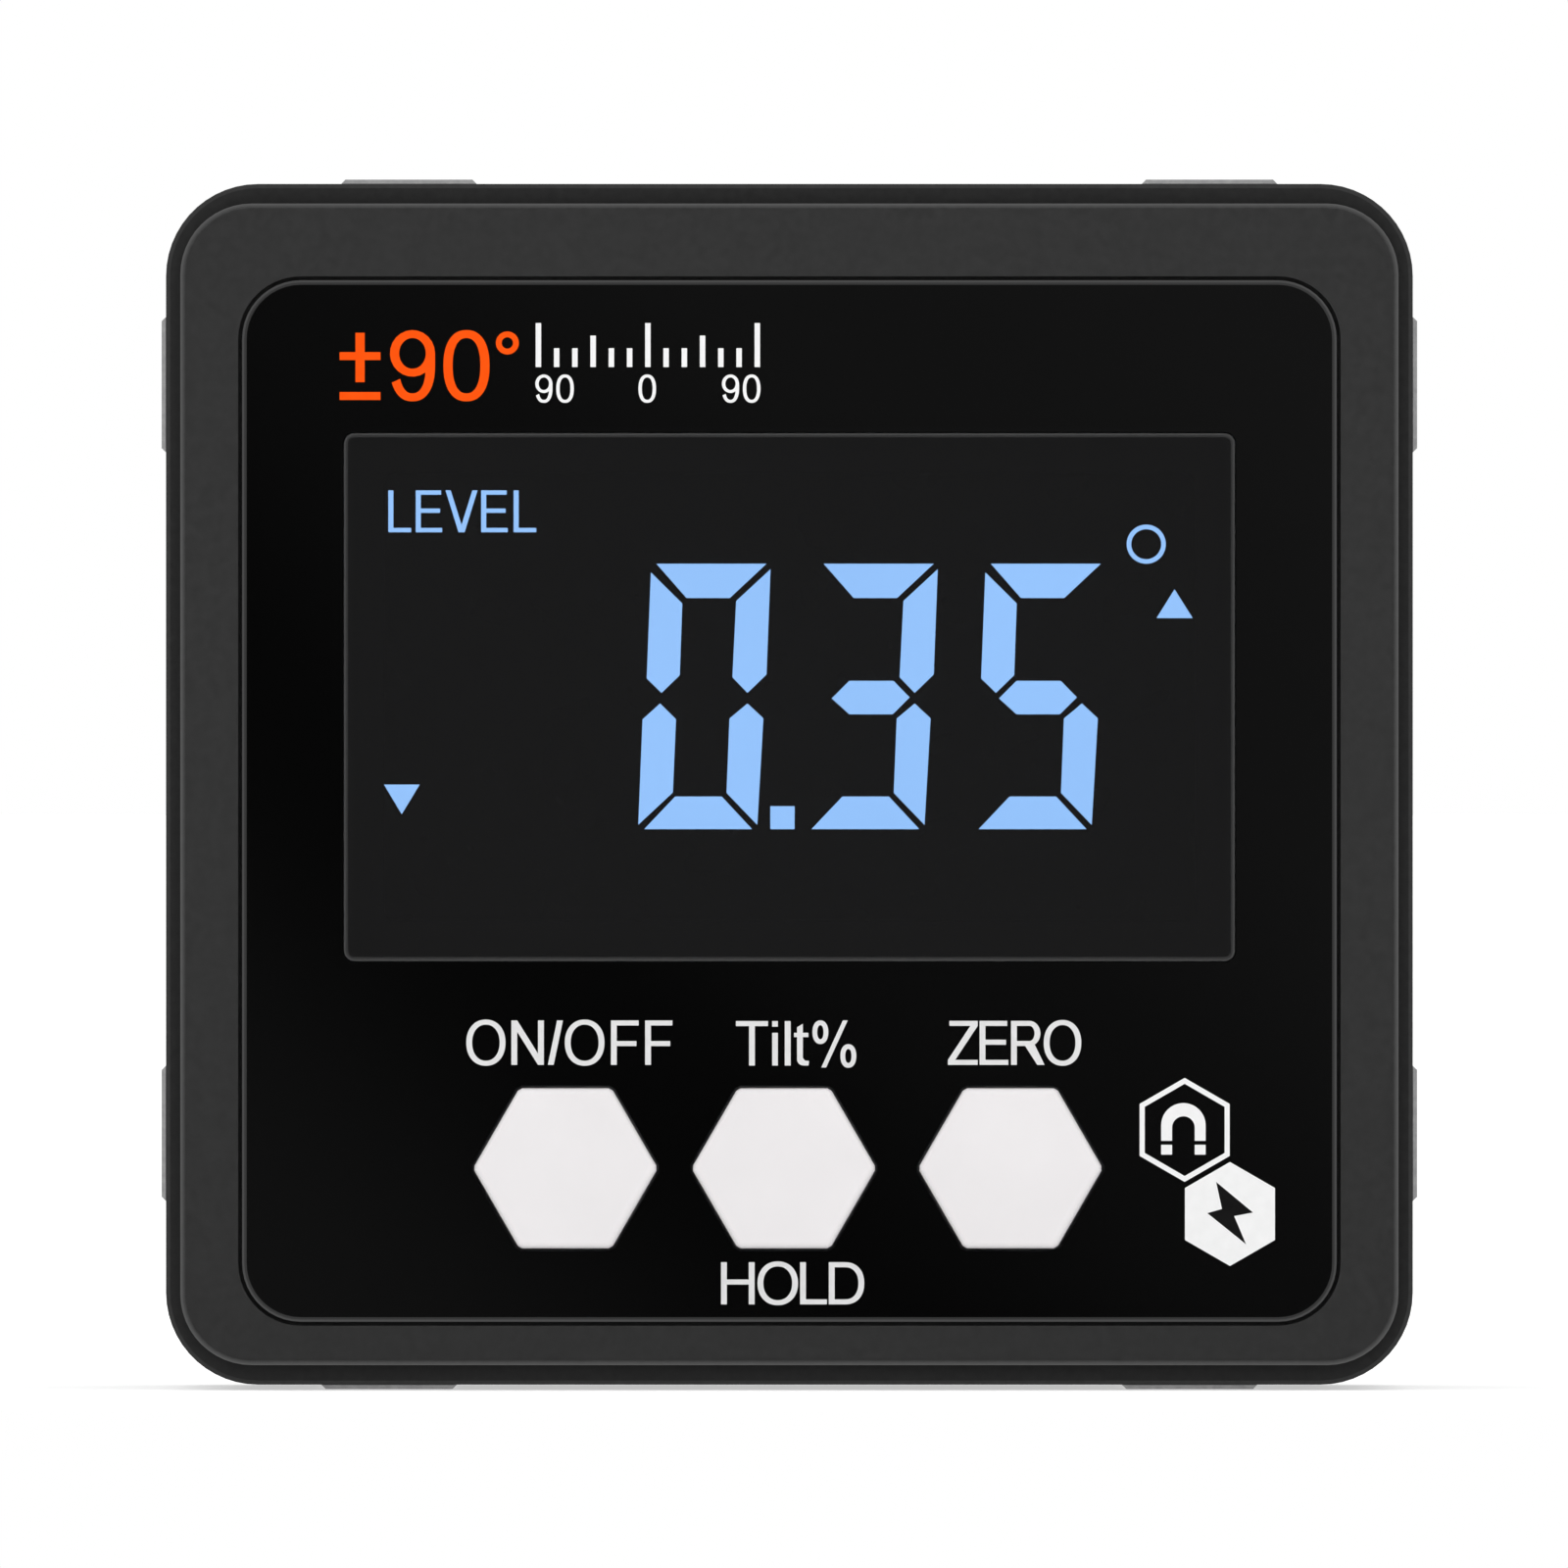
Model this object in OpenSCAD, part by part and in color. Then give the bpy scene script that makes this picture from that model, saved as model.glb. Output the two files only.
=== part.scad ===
// Digital angle gauge: square plastic case with bar magnets in its four measuring sides,
// a display window and three six-sided keys on the front. Millimetres, +Z up, front to -Y.

/* [Case] */
// Width of the case between its two side faces
case_w = 59.5; // [58.7:0.1:66]
// Height of the case between its top and bottom faces
case_h = 57.3; // [56.5:0.1:64]
// Depth from the bezel's face to the back of the case
case_d = 29.5; // [28.5:0.1:36]
// Outside corner radius of the case, seen from the front
case_r = 4.4; // [3.8:0.1:5.5]
// Wall of the case
case_wall = 2.2; // [2:0.1:2.6]
// Sloped edge round the front rim of the case
rim_slope = 0.2; // [0.1:0.05:0.6]
// Rounding of the rear edge of the case
rear_round = 0.5; // [0.1:0.05:0.6]
// How far the rear ledge for the seal reaches in from the wall
ledge_in = 1.6; // [1.4:0.1:2]
// Corner radius of the opening inside that ledge
open_r = 1; // [0.5:0.1:1.5]
// Thickness of that ledge
ledge_t = 2; // [1.5:0.1:3]
// Wall left outside the back cover
cover_rim = 1.3; // [1:0.1:1.5]

/* [Magnets] */
// Distance from the front rim and from the back of the case to a magnet bar
magnet_end_in = 4.9; // [4.4:0.1:8]
// Width of a magnet bar along the case side
magnet_w = 6.45; // [4:0.05:7]
// Thickness of a magnet bar
magnet_t = 2.5; // [2:0.1:2.8]
// How far a magnet stands proud of the case
magnet_proud = 0.25; // [0.1:0.05:0.5]
// Ground slope on the edges of a magnet's outer face
magnet_slope = 0.19; // [0.05:0.01:0.3]
// Distance from the left side of the case to the middle of the top left magnet
magnet_in_top_left = 11.57; // [10:0.05:14]
// Distance from the right side of the case to the middle of the top right magnet
magnet_in_top_right = 9.67; // [9:0.05:14]
// Distance from each side of the case to the middle of the nearer bottom magnet
magnet_in_bottom = 10.62; // [9:0.05:14]
// Distance from the top of the case to the middle of the upper side magnets
magnet_in_upper = 9.55; // [9:0.05:11]
// Distance from the bottom of the case to the middle of the lower side magnets
magnet_in_lower = 11.97; // [9:0.05:12.5]
// Room round a magnet in its pocket
magnet_room = 0.05; // [0.02:0.01:0.1]
// Wall of the pocket behind and beside a magnet
pocket_wall = 1; // [0.8:0.1:1.2]

/* [Bezel] */
// Step from the case side in to the bezel side
bezel_step_w = 0.7; // [0.65:0.05:1]
// Step from the case top in to the bezel top
bezel_step_h = 0.95; // [0.65:0.05:1.2]
// Corner radius of the bezel
bezel_r = 3.4; // [2.8:0.1:4]
// Width of the bezel's rounded front edge
bezel_edge = 0.3; // [0.1:0.05:0.4]
// Angle through which that edge turns
bezel_turn = 60; // [30:1:90]
// Thickness of the bezel flange in front of the case
flange_t = 1.7; // [1.5:0.1:2.2]
// Thickness of the bezel wall behind the faceplate
web_t = 1.35; // [1.2:0.05:1.8]
// Depth of the bezel skirt inside the case, behind the web
skirt_l = 2.4; // [1.5:0.1:2.6]
// Thickness of that skirt
skirt_t = 1.2; // [1:0.1:1.3]
// Room between the skirt and the case
skirt_room = 0.1; // [0.05:0.01:0.2]
// Outside diameter of the four long screw bosses
boss_d = 4.4; // [4:0.1:4.6]
// Diameter of their screw holes
boss_hole_d = 2.1; // [1.8:0.05:2.4]
// Depth of their screw holes
boss_hole_l = 10; // [8:0.5:14]
// Room between a boss and the ledge of the case
boss_room = 0.2; // [0.1:0.05:0.3]
// Room between a boss end and the back cover
boss_end_room = 0.3; // [0.1:0.05:0.5]

/* [Faceplate] */
// Width of the bezel border at the left and right of the faceplate
border_side = 2.76; // [2:0.05:3.2]
// Width of the bezel border above the faceplate
border_top = 3.47; // [2.5:0.05:4]
// Width of the bezel border below the faceplate
border_bottom = 1.88; // [1.5:0.05:2.4]
// Gap round the faceplate
plate_gap = 0.19; // [0.08:0.01:0.3]
// Corner radius of the faceplate
plate_r = 2.8; // [1.5:0.1:3.2]
// Thickness of the faceplate
plate_t = 1.2; // [1:0.05:1.4]
// Width of the faceplate's rounded front edge
plate_edge = 0.45; // [0.1:0.05:0.6]
// Angle through which that edge turns
plate_turn = 36; // [20:1:60]
// How far the faceplate stands in front of the bezel's face
plate_proud = 0.12; // [0:0.01:0.15]
// Thickness of the adhesive sheet behind the faceplate
tape_t = 0.17; // [0.1:0.01:0.2]
// How far the adhesive sheet stays back from the faceplate's edges
tape_inset = 0.8; // [0.4:0.05:1.2]

/* [Display] */
// Distance from the faceplate's side edges to the lens
lens_side = 4.86; // [4:0.02:6]
// Distance from the faceplate's top edge down to the lens
lens_drop = 7.3; // [7:0.05:8]
// Distance from the faceplate's bottom edge up to the lens
lens_rise = 17.2; // [16.8:0.05:19]
// Corner radius of the lens
lens_r = 0.5; // [0.45:0.05:1]
// Width of the lens' rounded front edge
lens_edge = 0.4; // [0.05:0.01:0.45]
// Angle through which that edge turns
lens_turn = 36; // [20:1:60]
// How far the lens stands in front of the bezel's face
lens_proud = 0.28; // [0.15:0.01:0.35]
// Room round the lens in the faceplate
lens_room = 0.06; // [0.03:0.01:0.12]
// Width of the bezel ledge that carries the lens
lens_ledge = 1.25; // [0.8:0.05:1.6]
// How far the LCD glass reaches past the lens on each side
lcd_margin = 1; // [0.6:0.05:1.2]
// Thickness of each of the two LCD glass plates
lcd_plate_t = 0.9; // [0.5:0.05:1.1]
// Height of the LCD's contact edge, left free by its rear plate
lcd_contact_h = 2.4; // [2:0.1:3]
// Wall of the LCD frame
lcd_frame_wall = 1.1; // [0.8:0.05:1.3]
// Room round the LCD glass in its frame
lcd_room = 0.1; // [0.05:0.01:0.2]
// Thickness of the backlight
backlight_t = 2.6; // [1.5:0.1:2.8]
// Diameter of the four pegs that set the backlight on the board
light_peg_d = 1.2; // [0.8:0.1:1.6]
// Distance of those pegs in from the backlight's edges
light_peg_in = 3; // [2:0.1:6]
// Thickness of the elastomer connector strip
strip_t = 1.6; // [1:0.1:1.8]

/* [Keys] */
// Width of a key across its flats
key_flats = 7.64; // [6.5:0.02:7.8]
// Rounding of a key's six corners, seen from the front
key_r = 0.45; // [0.3:0.05:1]
// Rounding of a key's front edge
key_round = 0.26; // [0.05:0.01:0.28]
// How far a key stands in front of the bezel's face
key_proud = 0.5; // [0.45:0.05:1]
// Height of the key centres above the faceplate's bottom edge
key_rise = 7.32; // [7:0.02:7.8]
// Distance from the middle key to the left key
key_pitch_left = 10.42; // [10.3:0.02:10.8]
// Distance from the middle key to the right key
key_pitch_right = 10.8; // [10.3:0.02:11]
// Offset of the middle key from the middle of the case
key_shift = -0.26; // [-0.5:0.02:0.5]
// Room round a key in the faceplate and bezel
key_room = 0.13; // [0.08:0.01:0.2]
// Wall of a key cap
key_wall = 1; // [0.8:0.05:1.2]
// How far the key flange reaches past the key
key_lip = 0.65; // [0.5:0.05:0.7]
// Thickness of the key flange
key_lip_t = 0.7; // [0.5:0.05:0.9]
// Travel of a key
key_travel = 0.4; // [0.2:0.05:0.5]
// Thickness of the seal mat
mat_t = 0.6; // [0.4:0.05:0.8]
// Width of the seal mat beyond the outer keys
mat_margin = 1.3; // [1:0.05:1.4]
// Room round a key in the seal mat
mat_room = 0.08; // [0.05:0.01:0.12]
// Room between a key flange and the seal mat
lip_room = 0.1; // [0.05:0.01:0.2]

/* [Switches] */
// Side of a tact switch body
switch_w = 6; // [5:0.1:6.4]
// Height of a tact switch body on the board
switch_h = 3; // [2.6:0.1:3.2]
// Width of a switch leg
leg_w = 0.7; // [0.4:0.05:1]
// Thickness of a switch leg
leg_t = 0.2; // [0.1:0.05:0.3]
// How far a switch leg reaches out from the body
leg_out = 1; // [0.5:0.05:1.2]
// Distance between the two legs of one side
leg_pitch = 4.5; // [3.6:0.1:4.8]
// Diameter of a switch plunger
plunger_d = 3.4; // [3:0.05:3.6]
// Running room of a plunger in its switch, on the radius
plunger_room = 0.08; // [0.03:0.01:0.1]
// Length of the plunger inside its bore when released
plunger_in = 0.6; // [0.4:0.05:0.7]
// Depth left under a pressed plunger
plunger_spare = 0.6; // [0.3:0.05:0.8]

/* [Board] */
// Depth from the bezel's face to the front of the circuit board
board_at = 8; // [8:0.1:9]
// Thickness of the circuit board
board_t = 1.2; // [0.8:0.1:1.6]
// Room between the board and the magnet pockets
board_room = 0.6; // [0.4:0.05:1]
// Corner radius of the board
board_r = 1.5; // [0.5:0.1:2]
// Room between the board and the long bosses
board_boss_room = 0.4; // [0.3:0.05:0.6]
// Diameter of the four short board posts
post_d = 3.6; // [3.2:0.1:3.8]
// Diameter of the screw holes in the board posts
post_hole_d = 1.7; // [1.5:0.05:1.9]
// Distance of the upper board posts from the middle
post_top_x = 14; // [10:0.1:16]
// Distance of the upper board posts below the board's top edge
post_top_drop = 2.5; // [2.2:0.1:2.6]
// Distance of the lower board posts above the board's bottom edge
post_low_rise = 7.8; // [7:0.1:9]
// Diameter of a board screw head
board_head_d = 3.2; // [2.8:0.1:3.4]
// Height of a board screw head
board_head_t = 1.2; // [0.8:0.1:1.5]
// Diameter of a board screw shank
board_shank_d = 1.6; // [1.3:0.05:1.6]
// Length of a board screw below its head
board_shank_l = 4.2; // [3:0.1:5]
// Side of the microcontroller
mcu_w = 7; // [5:0.1:9]
// Thickness of the microcontroller
mcu_t = 1; // [0.6:0.1:1.4]
// Place of the microcontroller right of the middle
mcu_x = -8.6; // [-12:0.1:-6]
// Place of the microcontroller above the middle
mcu_y = 6.2; // [0:0.1:10]
// Side of the tilt sensor
sensor_w = 3; // [2:0.1:5]
// Thickness of the tilt sensor
sensor_t = 0.9; // [0.6:0.05:1.2]
// Place of the tilt sensor right of the middle
sensor_x = 6.5; // [0:0.1:10]
// Place of the tilt sensor above the middle
sensor_y = -9.9; // [-14:0.1:-5]
// Side of the charger chip
charger_w = 4; // [3:0.1:5]
// Thickness of the charger chip
charger_t = 0.85; // [0.6:0.05:1.2]
// Place of the charger chip right of the middle
charger_x = 10.4; // [6:0.1:14]
// Place of the charger chip above the middle
charger_y = 12.4; // [9:0.1:15]

/* [Charge port] */
// Width of the charge socket shell
usb_w = 8.94; // [8.94:0.02:8.96]
// Height of the charge socket shell
usb_h = 3.26; // [3.26:0.02:3.28]
// Length of the charge socket shell
usb_l = 7.3; // [6.5:0.1:8]
// Sheet thickness of the shell
usb_wall = 0.3; // [0.2:0.02:0.34]
// Width of the contact tongue
tongue_w = 6.69; // [6.5:0.01:6.7]
// Thickness of the contact tongue
tongue_t = 0.7; // [0.6:0.02:0.72]
// How far the tongue ends behind the shell's mouth
tongue_back = 0.9; // [0.6:0.05:1.2]
// Room round the charge plug in the case wall
port_room = 0.28; // [0.2:0.02:0.4]
// Distance of the shell's mouth behind the inner face of the wall
port_back = 0.2; // [0.1:0.05:0.4]
// Length of the flap below its neck
flap_l = 14.8; // [14:0.1:16]
// Width of the flap, front to back
flap_w = 6.2; // [5.4:0.1:6.6]
// Width of the flap's neck and of the fingernail notch
neck_w = 3.1; // [2.5:0.1:4]
// Corner radius of the flap
flap_r = 1.5; // [1:0.1:1.5]
// Thickness of the flap
flap_t = 1.15; // [1:0.05:1.2]
// How far the flap lies below the case side
flap_sink = 0.1; // [0.05:0.01:0.2]
// Room round and under the flap in its recess
flap_room = 0.15; // [0.1:0.01:0.25]
// Room under the flap
flap_under = 0.05; // [0.03:0.01:0.1]
// Thickness of the bending neck
neck_t = 0.6; // [0.4:0.05:0.7]
// Length of the bending neck
neck_l = 1; // [0.8:0.1:1.6]
// Distance from the bending line to the anchor
anchor_gap = 0.5; // [0.48:0.01:0.7]
// Length of the anchor
anchor_l = 3.2; // [2.8:0.1:4]
// Diameter of the anchor's peg
peg_d = 2; // [1.6:0.1:2.2]
// Room round the peg in the wall
peg_room = 0.05; // [0.03:0.01:0.1]
// How far the peg's head reaches past the peg
peg_head = 0.3; // [0.2:0.05:0.4]
// Length of the peg's head
peg_head_l = 0.6; // [0.5:0.05:1]
// Depth of the flap's plug lip
lip_l = 0.8; // [0.5:0.05:0.85]
// Wall of the plug lip
lip_wall = 0.7; // [0.5:0.05:0.9]
// Radius of the fingernail notch below the flap
notch_r = 2; // [1.5:0.1:2.5]

/* [Battery] */
// Width of the battery pouch
cell_w = 40; // [30:0.5:42]
// Height of the battery pouch
cell_h = 30; // [24:0.5:32]
// Thickness of the battery pouch
cell_t = 8; // [5:0.1:8.5]
// Rounding of the battery pouch
cell_round = 1.6; // [0.5:0.1:2]
// Thickness of the foam pad under the battery
pad_t = 0.8; // [0.5:0.1:1]
// How far the foam pad stays back from the battery's edges
pad_inset = 5; // [3:0.5:8]
// Diameter of a battery lead
lead_d = 1.2; // [0.8:0.1:1.4]
// Distance between the two battery leads
lead_pitch = 2; // [1.6:0.1:2.5]
// Bend radius of a battery lead
lead_bend = 2; // [1.5:0.1:2.5]
// Height of the battery lead socket on the board
socket_h = 5; // [4:0.1:6]
// Width of the battery lead socket
socket_w = 6; // [5:0.1:8]
// Depth of the battery lead socket
socket_t = 4.2; // [3.5:0.1:4.6]
// Distance of the socket's middle below the board's top edge
socket_drop = 4.6; // [3:0.1:5]

/* [Back cover] */
// Thickness of the back cover
cover_t = 2.2; // [2:0.1:3]
// Room round the back cover
cover_room = 0.1; // [0.05:0.01:0.2]
// Rounding of the back cover's outer edge
cover_round = 0.3; // [0.1:0.05:0.5]
// Thickness of the cover seal
seal_t = 0.6; // [0.4:0.05:1]
// Width of the cover seal
seal_w = 1.5; // [1:0.1:1.8]
// Diameter of a cover screw head
head_d = 4.4; // [3.8:0.1:4.6]
// Height of a cover screw head
head_t = 1.3; // [1:0.1:1.4]
// Diameter of a cover screw shank
shank_d = 2; // [1.6:0.05:2]
// Length of a cover screw below its head
shank_l = 8; // [6:0.5:9]
// Room round a cover screw in the cover
screw_room = 0.2; // [0.1:0.05:0.3]
// How far a screw head lies below the cover
head_sink = 0.1; // [0:0.05:0.2]
// Length of the cross slot in a screw head
cross_l = 2.4; // [1.5:0.1:2.8]
// Width of the cross slot
cross_w = 0.55; // [0.3:0.05:0.7]
// Depth of the cross slot
cross_d = 0.7; // [0.3:0.05:0.8]
// Thickness of the battery ribs on the cover
rib_t = 1; // [0.8:0.1:1.2]
// Height of the battery ribs
rib_h = 4; // [2:0.1:5]
// Length of the battery ribs
rib_l = 10; // [6:0.5:12]
// Room between the ribs and the battery
rib_room = 0.3; // [0.1:0.05:0.5]

/* [Colours] */
// Colour of the bezel
bezel_colour = [0.212, 0.212, 0.212];
// Colour of the case, the cover and the port flap
case_colour = [0.157, 0.157, 0.157];
// Colour of the faceplate
plate_colour = [0.05, 0.05, 0.052];
// Colour of the display lens
lens_colour = [0.106, 0.106, 0.106];
// Colour of the keys
key_colour = [0.93, 0.918, 0.922];
// Colour of the magnets
magnet_colour = [0.63, 0.63, 0.63];

/* [Hidden] */
$fn = 48;

// Small overlap that joins solids of one piece, and overshoot of cutters.
bite = 0.2;
// Segments of a rounded edge.
edge_steps = 4;

// Places in the front plane are measured from the middle of the case, depths from the bezel's face.
front_y = -(case_d - key_proud) / 2;
mid_z = magnet_proud + case_h / 2;

inner_w = case_w - 2 * case_wall;
inner_h = case_h - 2 * case_wall;
inner_r = case_r - case_wall;
bezel_w = case_w - 2 * bezel_step_w;
bezel_h = case_h - 2 * bezel_step_h;
recess_w = bezel_w - 2 * border_side;
recess_h = bezel_h - border_top - border_bottom;
recess_y = (border_bottom - border_top) / 2;
recess_d = plate_t - plate_proud + tape_t;
plate_w = recess_w - 2 * plate_gap;
plate_h = recess_h - 2 * plate_gap;
web_back = recess_d + web_t;
skirt_end = web_back + skirt_l;
skirt_w = inner_w - 2 * skirt_room;
skirt_h = inner_h - 2 * skirt_room;
skirt_r = inner_r - skirt_room;
hollow_r = skirt_r - skirt_t;

seat_d = case_d - cover_t - seal_t;
ledge_front = seat_d - ledge_t;
open_w = inner_w - 2 * ledge_in;
open_h = inner_h - 2 * ledge_in;
seat_w = case_w - 2 * cover_rim;
seat_h = case_h - 2 * cover_rim;
seat_r = case_r - cover_rim;
cover_front = case_d - cover_t;

boss_x = open_w / 2 - boss_room - boss_d / 2;
boss_z = open_h / 2 - boss_room - boss_d / 2;
boss_end = cover_front - boss_end_room;

lens_w = plate_w - 2 * lens_side;
lens_h = plate_h - lens_drop - lens_rise;
lens_y = recess_y + (lens_rise - lens_drop) / 2;
lcd_w = lens_w + 2 * lcd_margin;
lcd_h = lens_h + 2 * lcd_margin;
lcd_front = web_back;
lcd_back = lcd_front + 2 * lcd_plate_t;
frame_w = lcd_w + 2 * (lcd_room + lcd_frame_wall);
frame_h = lcd_h + 2 * (lcd_room + lcd_frame_wall);
lcd_low = lens_y - lcd_h / 2;
lcd_top = lens_y + lcd_h / 2;

key_y = recess_y - plate_h / 2 + key_rise;
key_x = [key_shift - key_pitch_left, key_shift, key_shift + key_pitch_right];
hole_flats = key_flats + 2 * key_room;
lip_front = web_back + mat_t + lip_room;
lip_back = lip_front + key_lip_t;
cap_inside = key_wall - key_proud;
key_reach = hex_reach(key_flats, key_r);
mat_w = key_pitch_left + key_pitch_right + 2 * (key_reach + mat_margin);
mat_h = key_flats + 2 * mat_margin;
mat_x = key_shift + (key_pitch_right - key_pitch_left) / 2;
switch_front = board_at - switch_h;
plunger_end = switch_front + plunger_in;
bore_end = plunger_end + key_travel + plunger_spare;

board_back = board_at + board_t;
board_w = inner_w - 2 * (pocket_in() + board_room);
board_h = inner_h - 2 * (pocket_in() + board_room);
// The lower posts stand midway between the seal mat and the edge of the board.
post_low_x = (mat_w / 2 + board_w / 2) / 2;
posts = [[-post_top_x, board_h / 2 - post_top_drop], [post_top_x, board_h / 2 - post_top_drop],
         [-post_low_x, post_low_rise - board_h / 2], [post_low_x, post_low_rise - board_h / 2]];
corners4 = [[-boss_x, -boss_z], [boss_x, -boss_z], [boss_x, boss_z], [-boss_x, boss_z]];

port_d = board_back + usb_h / 2;
flap_low = -flap_l / 2;
hinge_y = flap_low + flap_l;
hinge_in = flap_sink + neck_t / 2;
anchor_low = hinge_y + anchor_gap;
flap_floor = flap_sink + flap_t + flap_under;
mouth_x = inner_w / 2 - port_back;

magnet_mid = (flange_t + case_d) / 2;
magnet_l = case_d - flange_t - 2 * magnet_end_in;
cell_back = cover_front - pad_t;
cell_front = cell_back - cell_t;
lead_y = board_h / 2 - socket_drop;
lead_at = (cell_front + cell_back) / 2;

// How far the magnet pockets reach in from the wall's inner face.
function pocket_in() = magnet_t - magnet_proud + pocket_wall - case_wall;

// Arc centres of a rounded rectangle, going round counter-clockwise.
function box_corners(w, h, r, x = 0, y = 0) =
    [[x + w / 2 - r, y - h / 2 + r], [x + w / 2 - r, y + h / 2 - r],
     [x - w / 2 + r, y + h / 2 - r], [x - w / 2 + r, y - h / 2 + r]];

// Arc centres of a slot with round ends, standing upright.
function slot_corners(l, r, x = 0, y = 0) = [[x, y - l / 2 + r], [x, y + l / 2 - r]];

// One edge of a profile of half width r, as wide as e, rising to height 0: a sharp point, a slope or an arc
// that ends level and turns through the given angle.
function edge_points(r, e, turn, steps) = e == 0 ? [[r, 0]] : let (bend = e / sin(turn))
    [for (k = [0:steps]) let (a = turn * (1 - k / steps)) [r - e + bend * sin(a), bend * (cos(a) - 1)]];

// Half section of a slab's border, radius outward and thickness upward.
// Its front edge turns through the given angle.
module border_profile(r, t, top, bottom, steps, turn) {
    foot = edge_points(r, bottom, 90, steps);
    polygon(concat([[0, 0]],
                   [for (k = [len(foot) - 1:-1:0]) [foot[k][0], -foot[k][1]]],
                   [for (p = edge_points(r, top, turn, steps)) [p[0], t + p[1]]],
                   [[0, t]]));
}

// Heading of the line from p to q, and the way out from a side with that heading.
function heading(p, q) = atan2(q[1] - p[1], q[0] - p[0]);
function outward(a) = [sin(a), -cos(a)];

// A slab with rounded corners: one straight border per side and one turned border per corner,
// round a core that laps half way into their flat part.
module slab(corners, r, t, top = 0, bottom = 0, steps = edge_steps, turn = 90) {
    n = len(corners);
    lap = (r - max(top, bottom)) / 2;
    sides = [for (k = [0:n - 1]) heading(corners[k], corners[(k + 1) % n])];
    core = lap == 0 ? corners : [for (k = [0:n - 1]) each [corners[k] + lap * outward(sides[(k + n - 1) % n]),
                                                           corners[k] + lap * outward(sides[k])]];
    if (len(core) > 2) linear_extrude(t) polygon(core);
    for (k = [0:n - 1]) {
        p = corners[k];
        q = corners[(k + 1) % n];
        run = sides[k];
        before = sides[(k + n - 1) % n];
        translate([q[0], q[1], 0]) rotate([0, 0, run - 90]) rotate([90, 0, 0])
            linear_extrude(norm(q - p)) border_profile(r, t, top, bottom, steps, turn);
        translate([p[0], p[1], 0]) rotate([0, 0, before - 90])
            rotate_extrude(angle = (run - before + 720) % 360)
                border_profile(r, t, top, bottom, steps, turn);
    }
}

// Front frame: right is +X, up is +Z, and thickness grows to the front from depth d.
module at_depth(d) {
    translate([0, front_y + d, mid_z]) rotate([90, 0, 0]) children();
}

// Side frame: first axis to the back, second along the side, third out of the case side.
module on_side(turn, half) {
    translate([0, front_y, mid_z]) rotate([0, -turn, 0]) translate([half, 0, 0])
        rotate([90, 0, 90]) children();
}

// Place of the charge port on the right side.
module at_port() {
    on_side(0, case_w / 2) translate([port_d, 0, 0]) children();
}

module round_box(w, h, r, from, to, y = 0, x = 0, top = 0, bottom = 0, steps = edge_steps, turn = 90) {
    at_depth(to) slab(box_corners(w, h, r, x, y), r, to - from, top, bottom, steps, turn);
}

// Distance from the middle of a hexagon to its rounded points.
function hex_reach(flats, r) = (flats / 2 - r) / cos(30) + r;

// One pair of opposite flats of a hexagonal block, with rounded front edges.
module hex_flats(flats, t, top, turn) {
    rotate([0, 0, turn]) rotate([90, 0, 0]) translate([0, 0, -flats])
        linear_extrude(2 * flats) for (side = [0, 1]) mirror([side, 0])
            border_profile(flats / 2, t, top, 0, edge_steps, 90);
}

// Hexagonal block with points to the left and right, in line with the keys.
module hex_block(flats, r, x, from, to, top = 0) {
    t = to - from;
    at_depth(to) translate([x, key_y, 0]) {
        if (top == 0) linear_extrude(t) intersection() {
            circle(d = flats / cos(30), $fn = 6);
            circle(r = hex_reach(flats, r));
        }
        else intersection() {
            hex_flats(flats, t, top, 30);
            hex_flats(flats, t, top, 90);
            hex_flats(flats, t, top, 150);
            rotate_extrude() border_profile(hex_reach(flats, r), t, top, 0, edge_steps, 90);
        }
    }
}

module rod(d, x, y, from, to) {
    at_depth(to) translate([x, y, 0]) cylinder(d = d, h = to - from);
}

module front_bezel() {
    color(bezel_colour) {
        difference() {
            union() {
                round_box(bezel_w, bezel_h, bezel_r, 0, flange_t, top = bezel_edge, turn = bezel_turn);
                round_box(skirt_w, skirt_h, skirt_r, flange_t - bite, skirt_end);
            }
            round_box(recess_w, recess_h, plate_r + plate_gap, -bite, recess_d, recess_y);
            round_box(skirt_w - 2 * skirt_t, skirt_h - 2 * skirt_t, hollow_r, web_back, skirt_end + bite);
            round_box(lens_w - 2 * lens_ledge, lens_h - 2 * lens_ledge, lens_r, 0, web_back + bite, lens_y);
            for (x = key_x) hex_block(hole_flats, key_r + key_room, x, 0, web_back + bite);
        }
        for (c = corners4) difference() {
            rod(boss_d, c[0], c[1], web_back - bite, boss_end);
            rod(boss_hole_d, c[0], c[1], boss_end - boss_hole_l, boss_end + bite);
        }
        for (c = posts) difference() {
            rod(post_d, c[0], c[1], web_back - bite, board_at);
            rod(post_hole_d, c[0], c[1], web_back + bite, board_at + bite);
        }
    }
}

// Plain block round a magnet's place, for its pocket and the pocket's wall.
module magnet_block(site, grow, low, high) {
    on_side(site[0], site[1])
        translate([magnet_mid - magnet_l / 2 - grow, site[2] - magnet_w / 2 - grow, low])
            cube([magnet_l + 2 * grow, magnet_w + 2 * grow, high - low]);
}

// Turn, half size and place along the side of each magnet, in the order of their node names.
magnet_sites = [[90, case_h / 2, case_w / 2 - magnet_in_top_left],
                [90, case_h / 2, magnet_in_top_right - case_w / 2],
                [270, case_h / 2, magnet_in_bottom - case_w / 2],
                [270, case_h / 2, case_w / 2 - magnet_in_bottom],
                [180, case_w / 2, magnet_in_upper - case_h / 2],
                [180, case_w / 2, case_h / 2 - magnet_in_lower],
                [0, case_w / 2, case_h / 2 - magnet_in_upper],
                [0, case_w / 2, magnet_in_lower - case_h / 2]];

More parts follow.
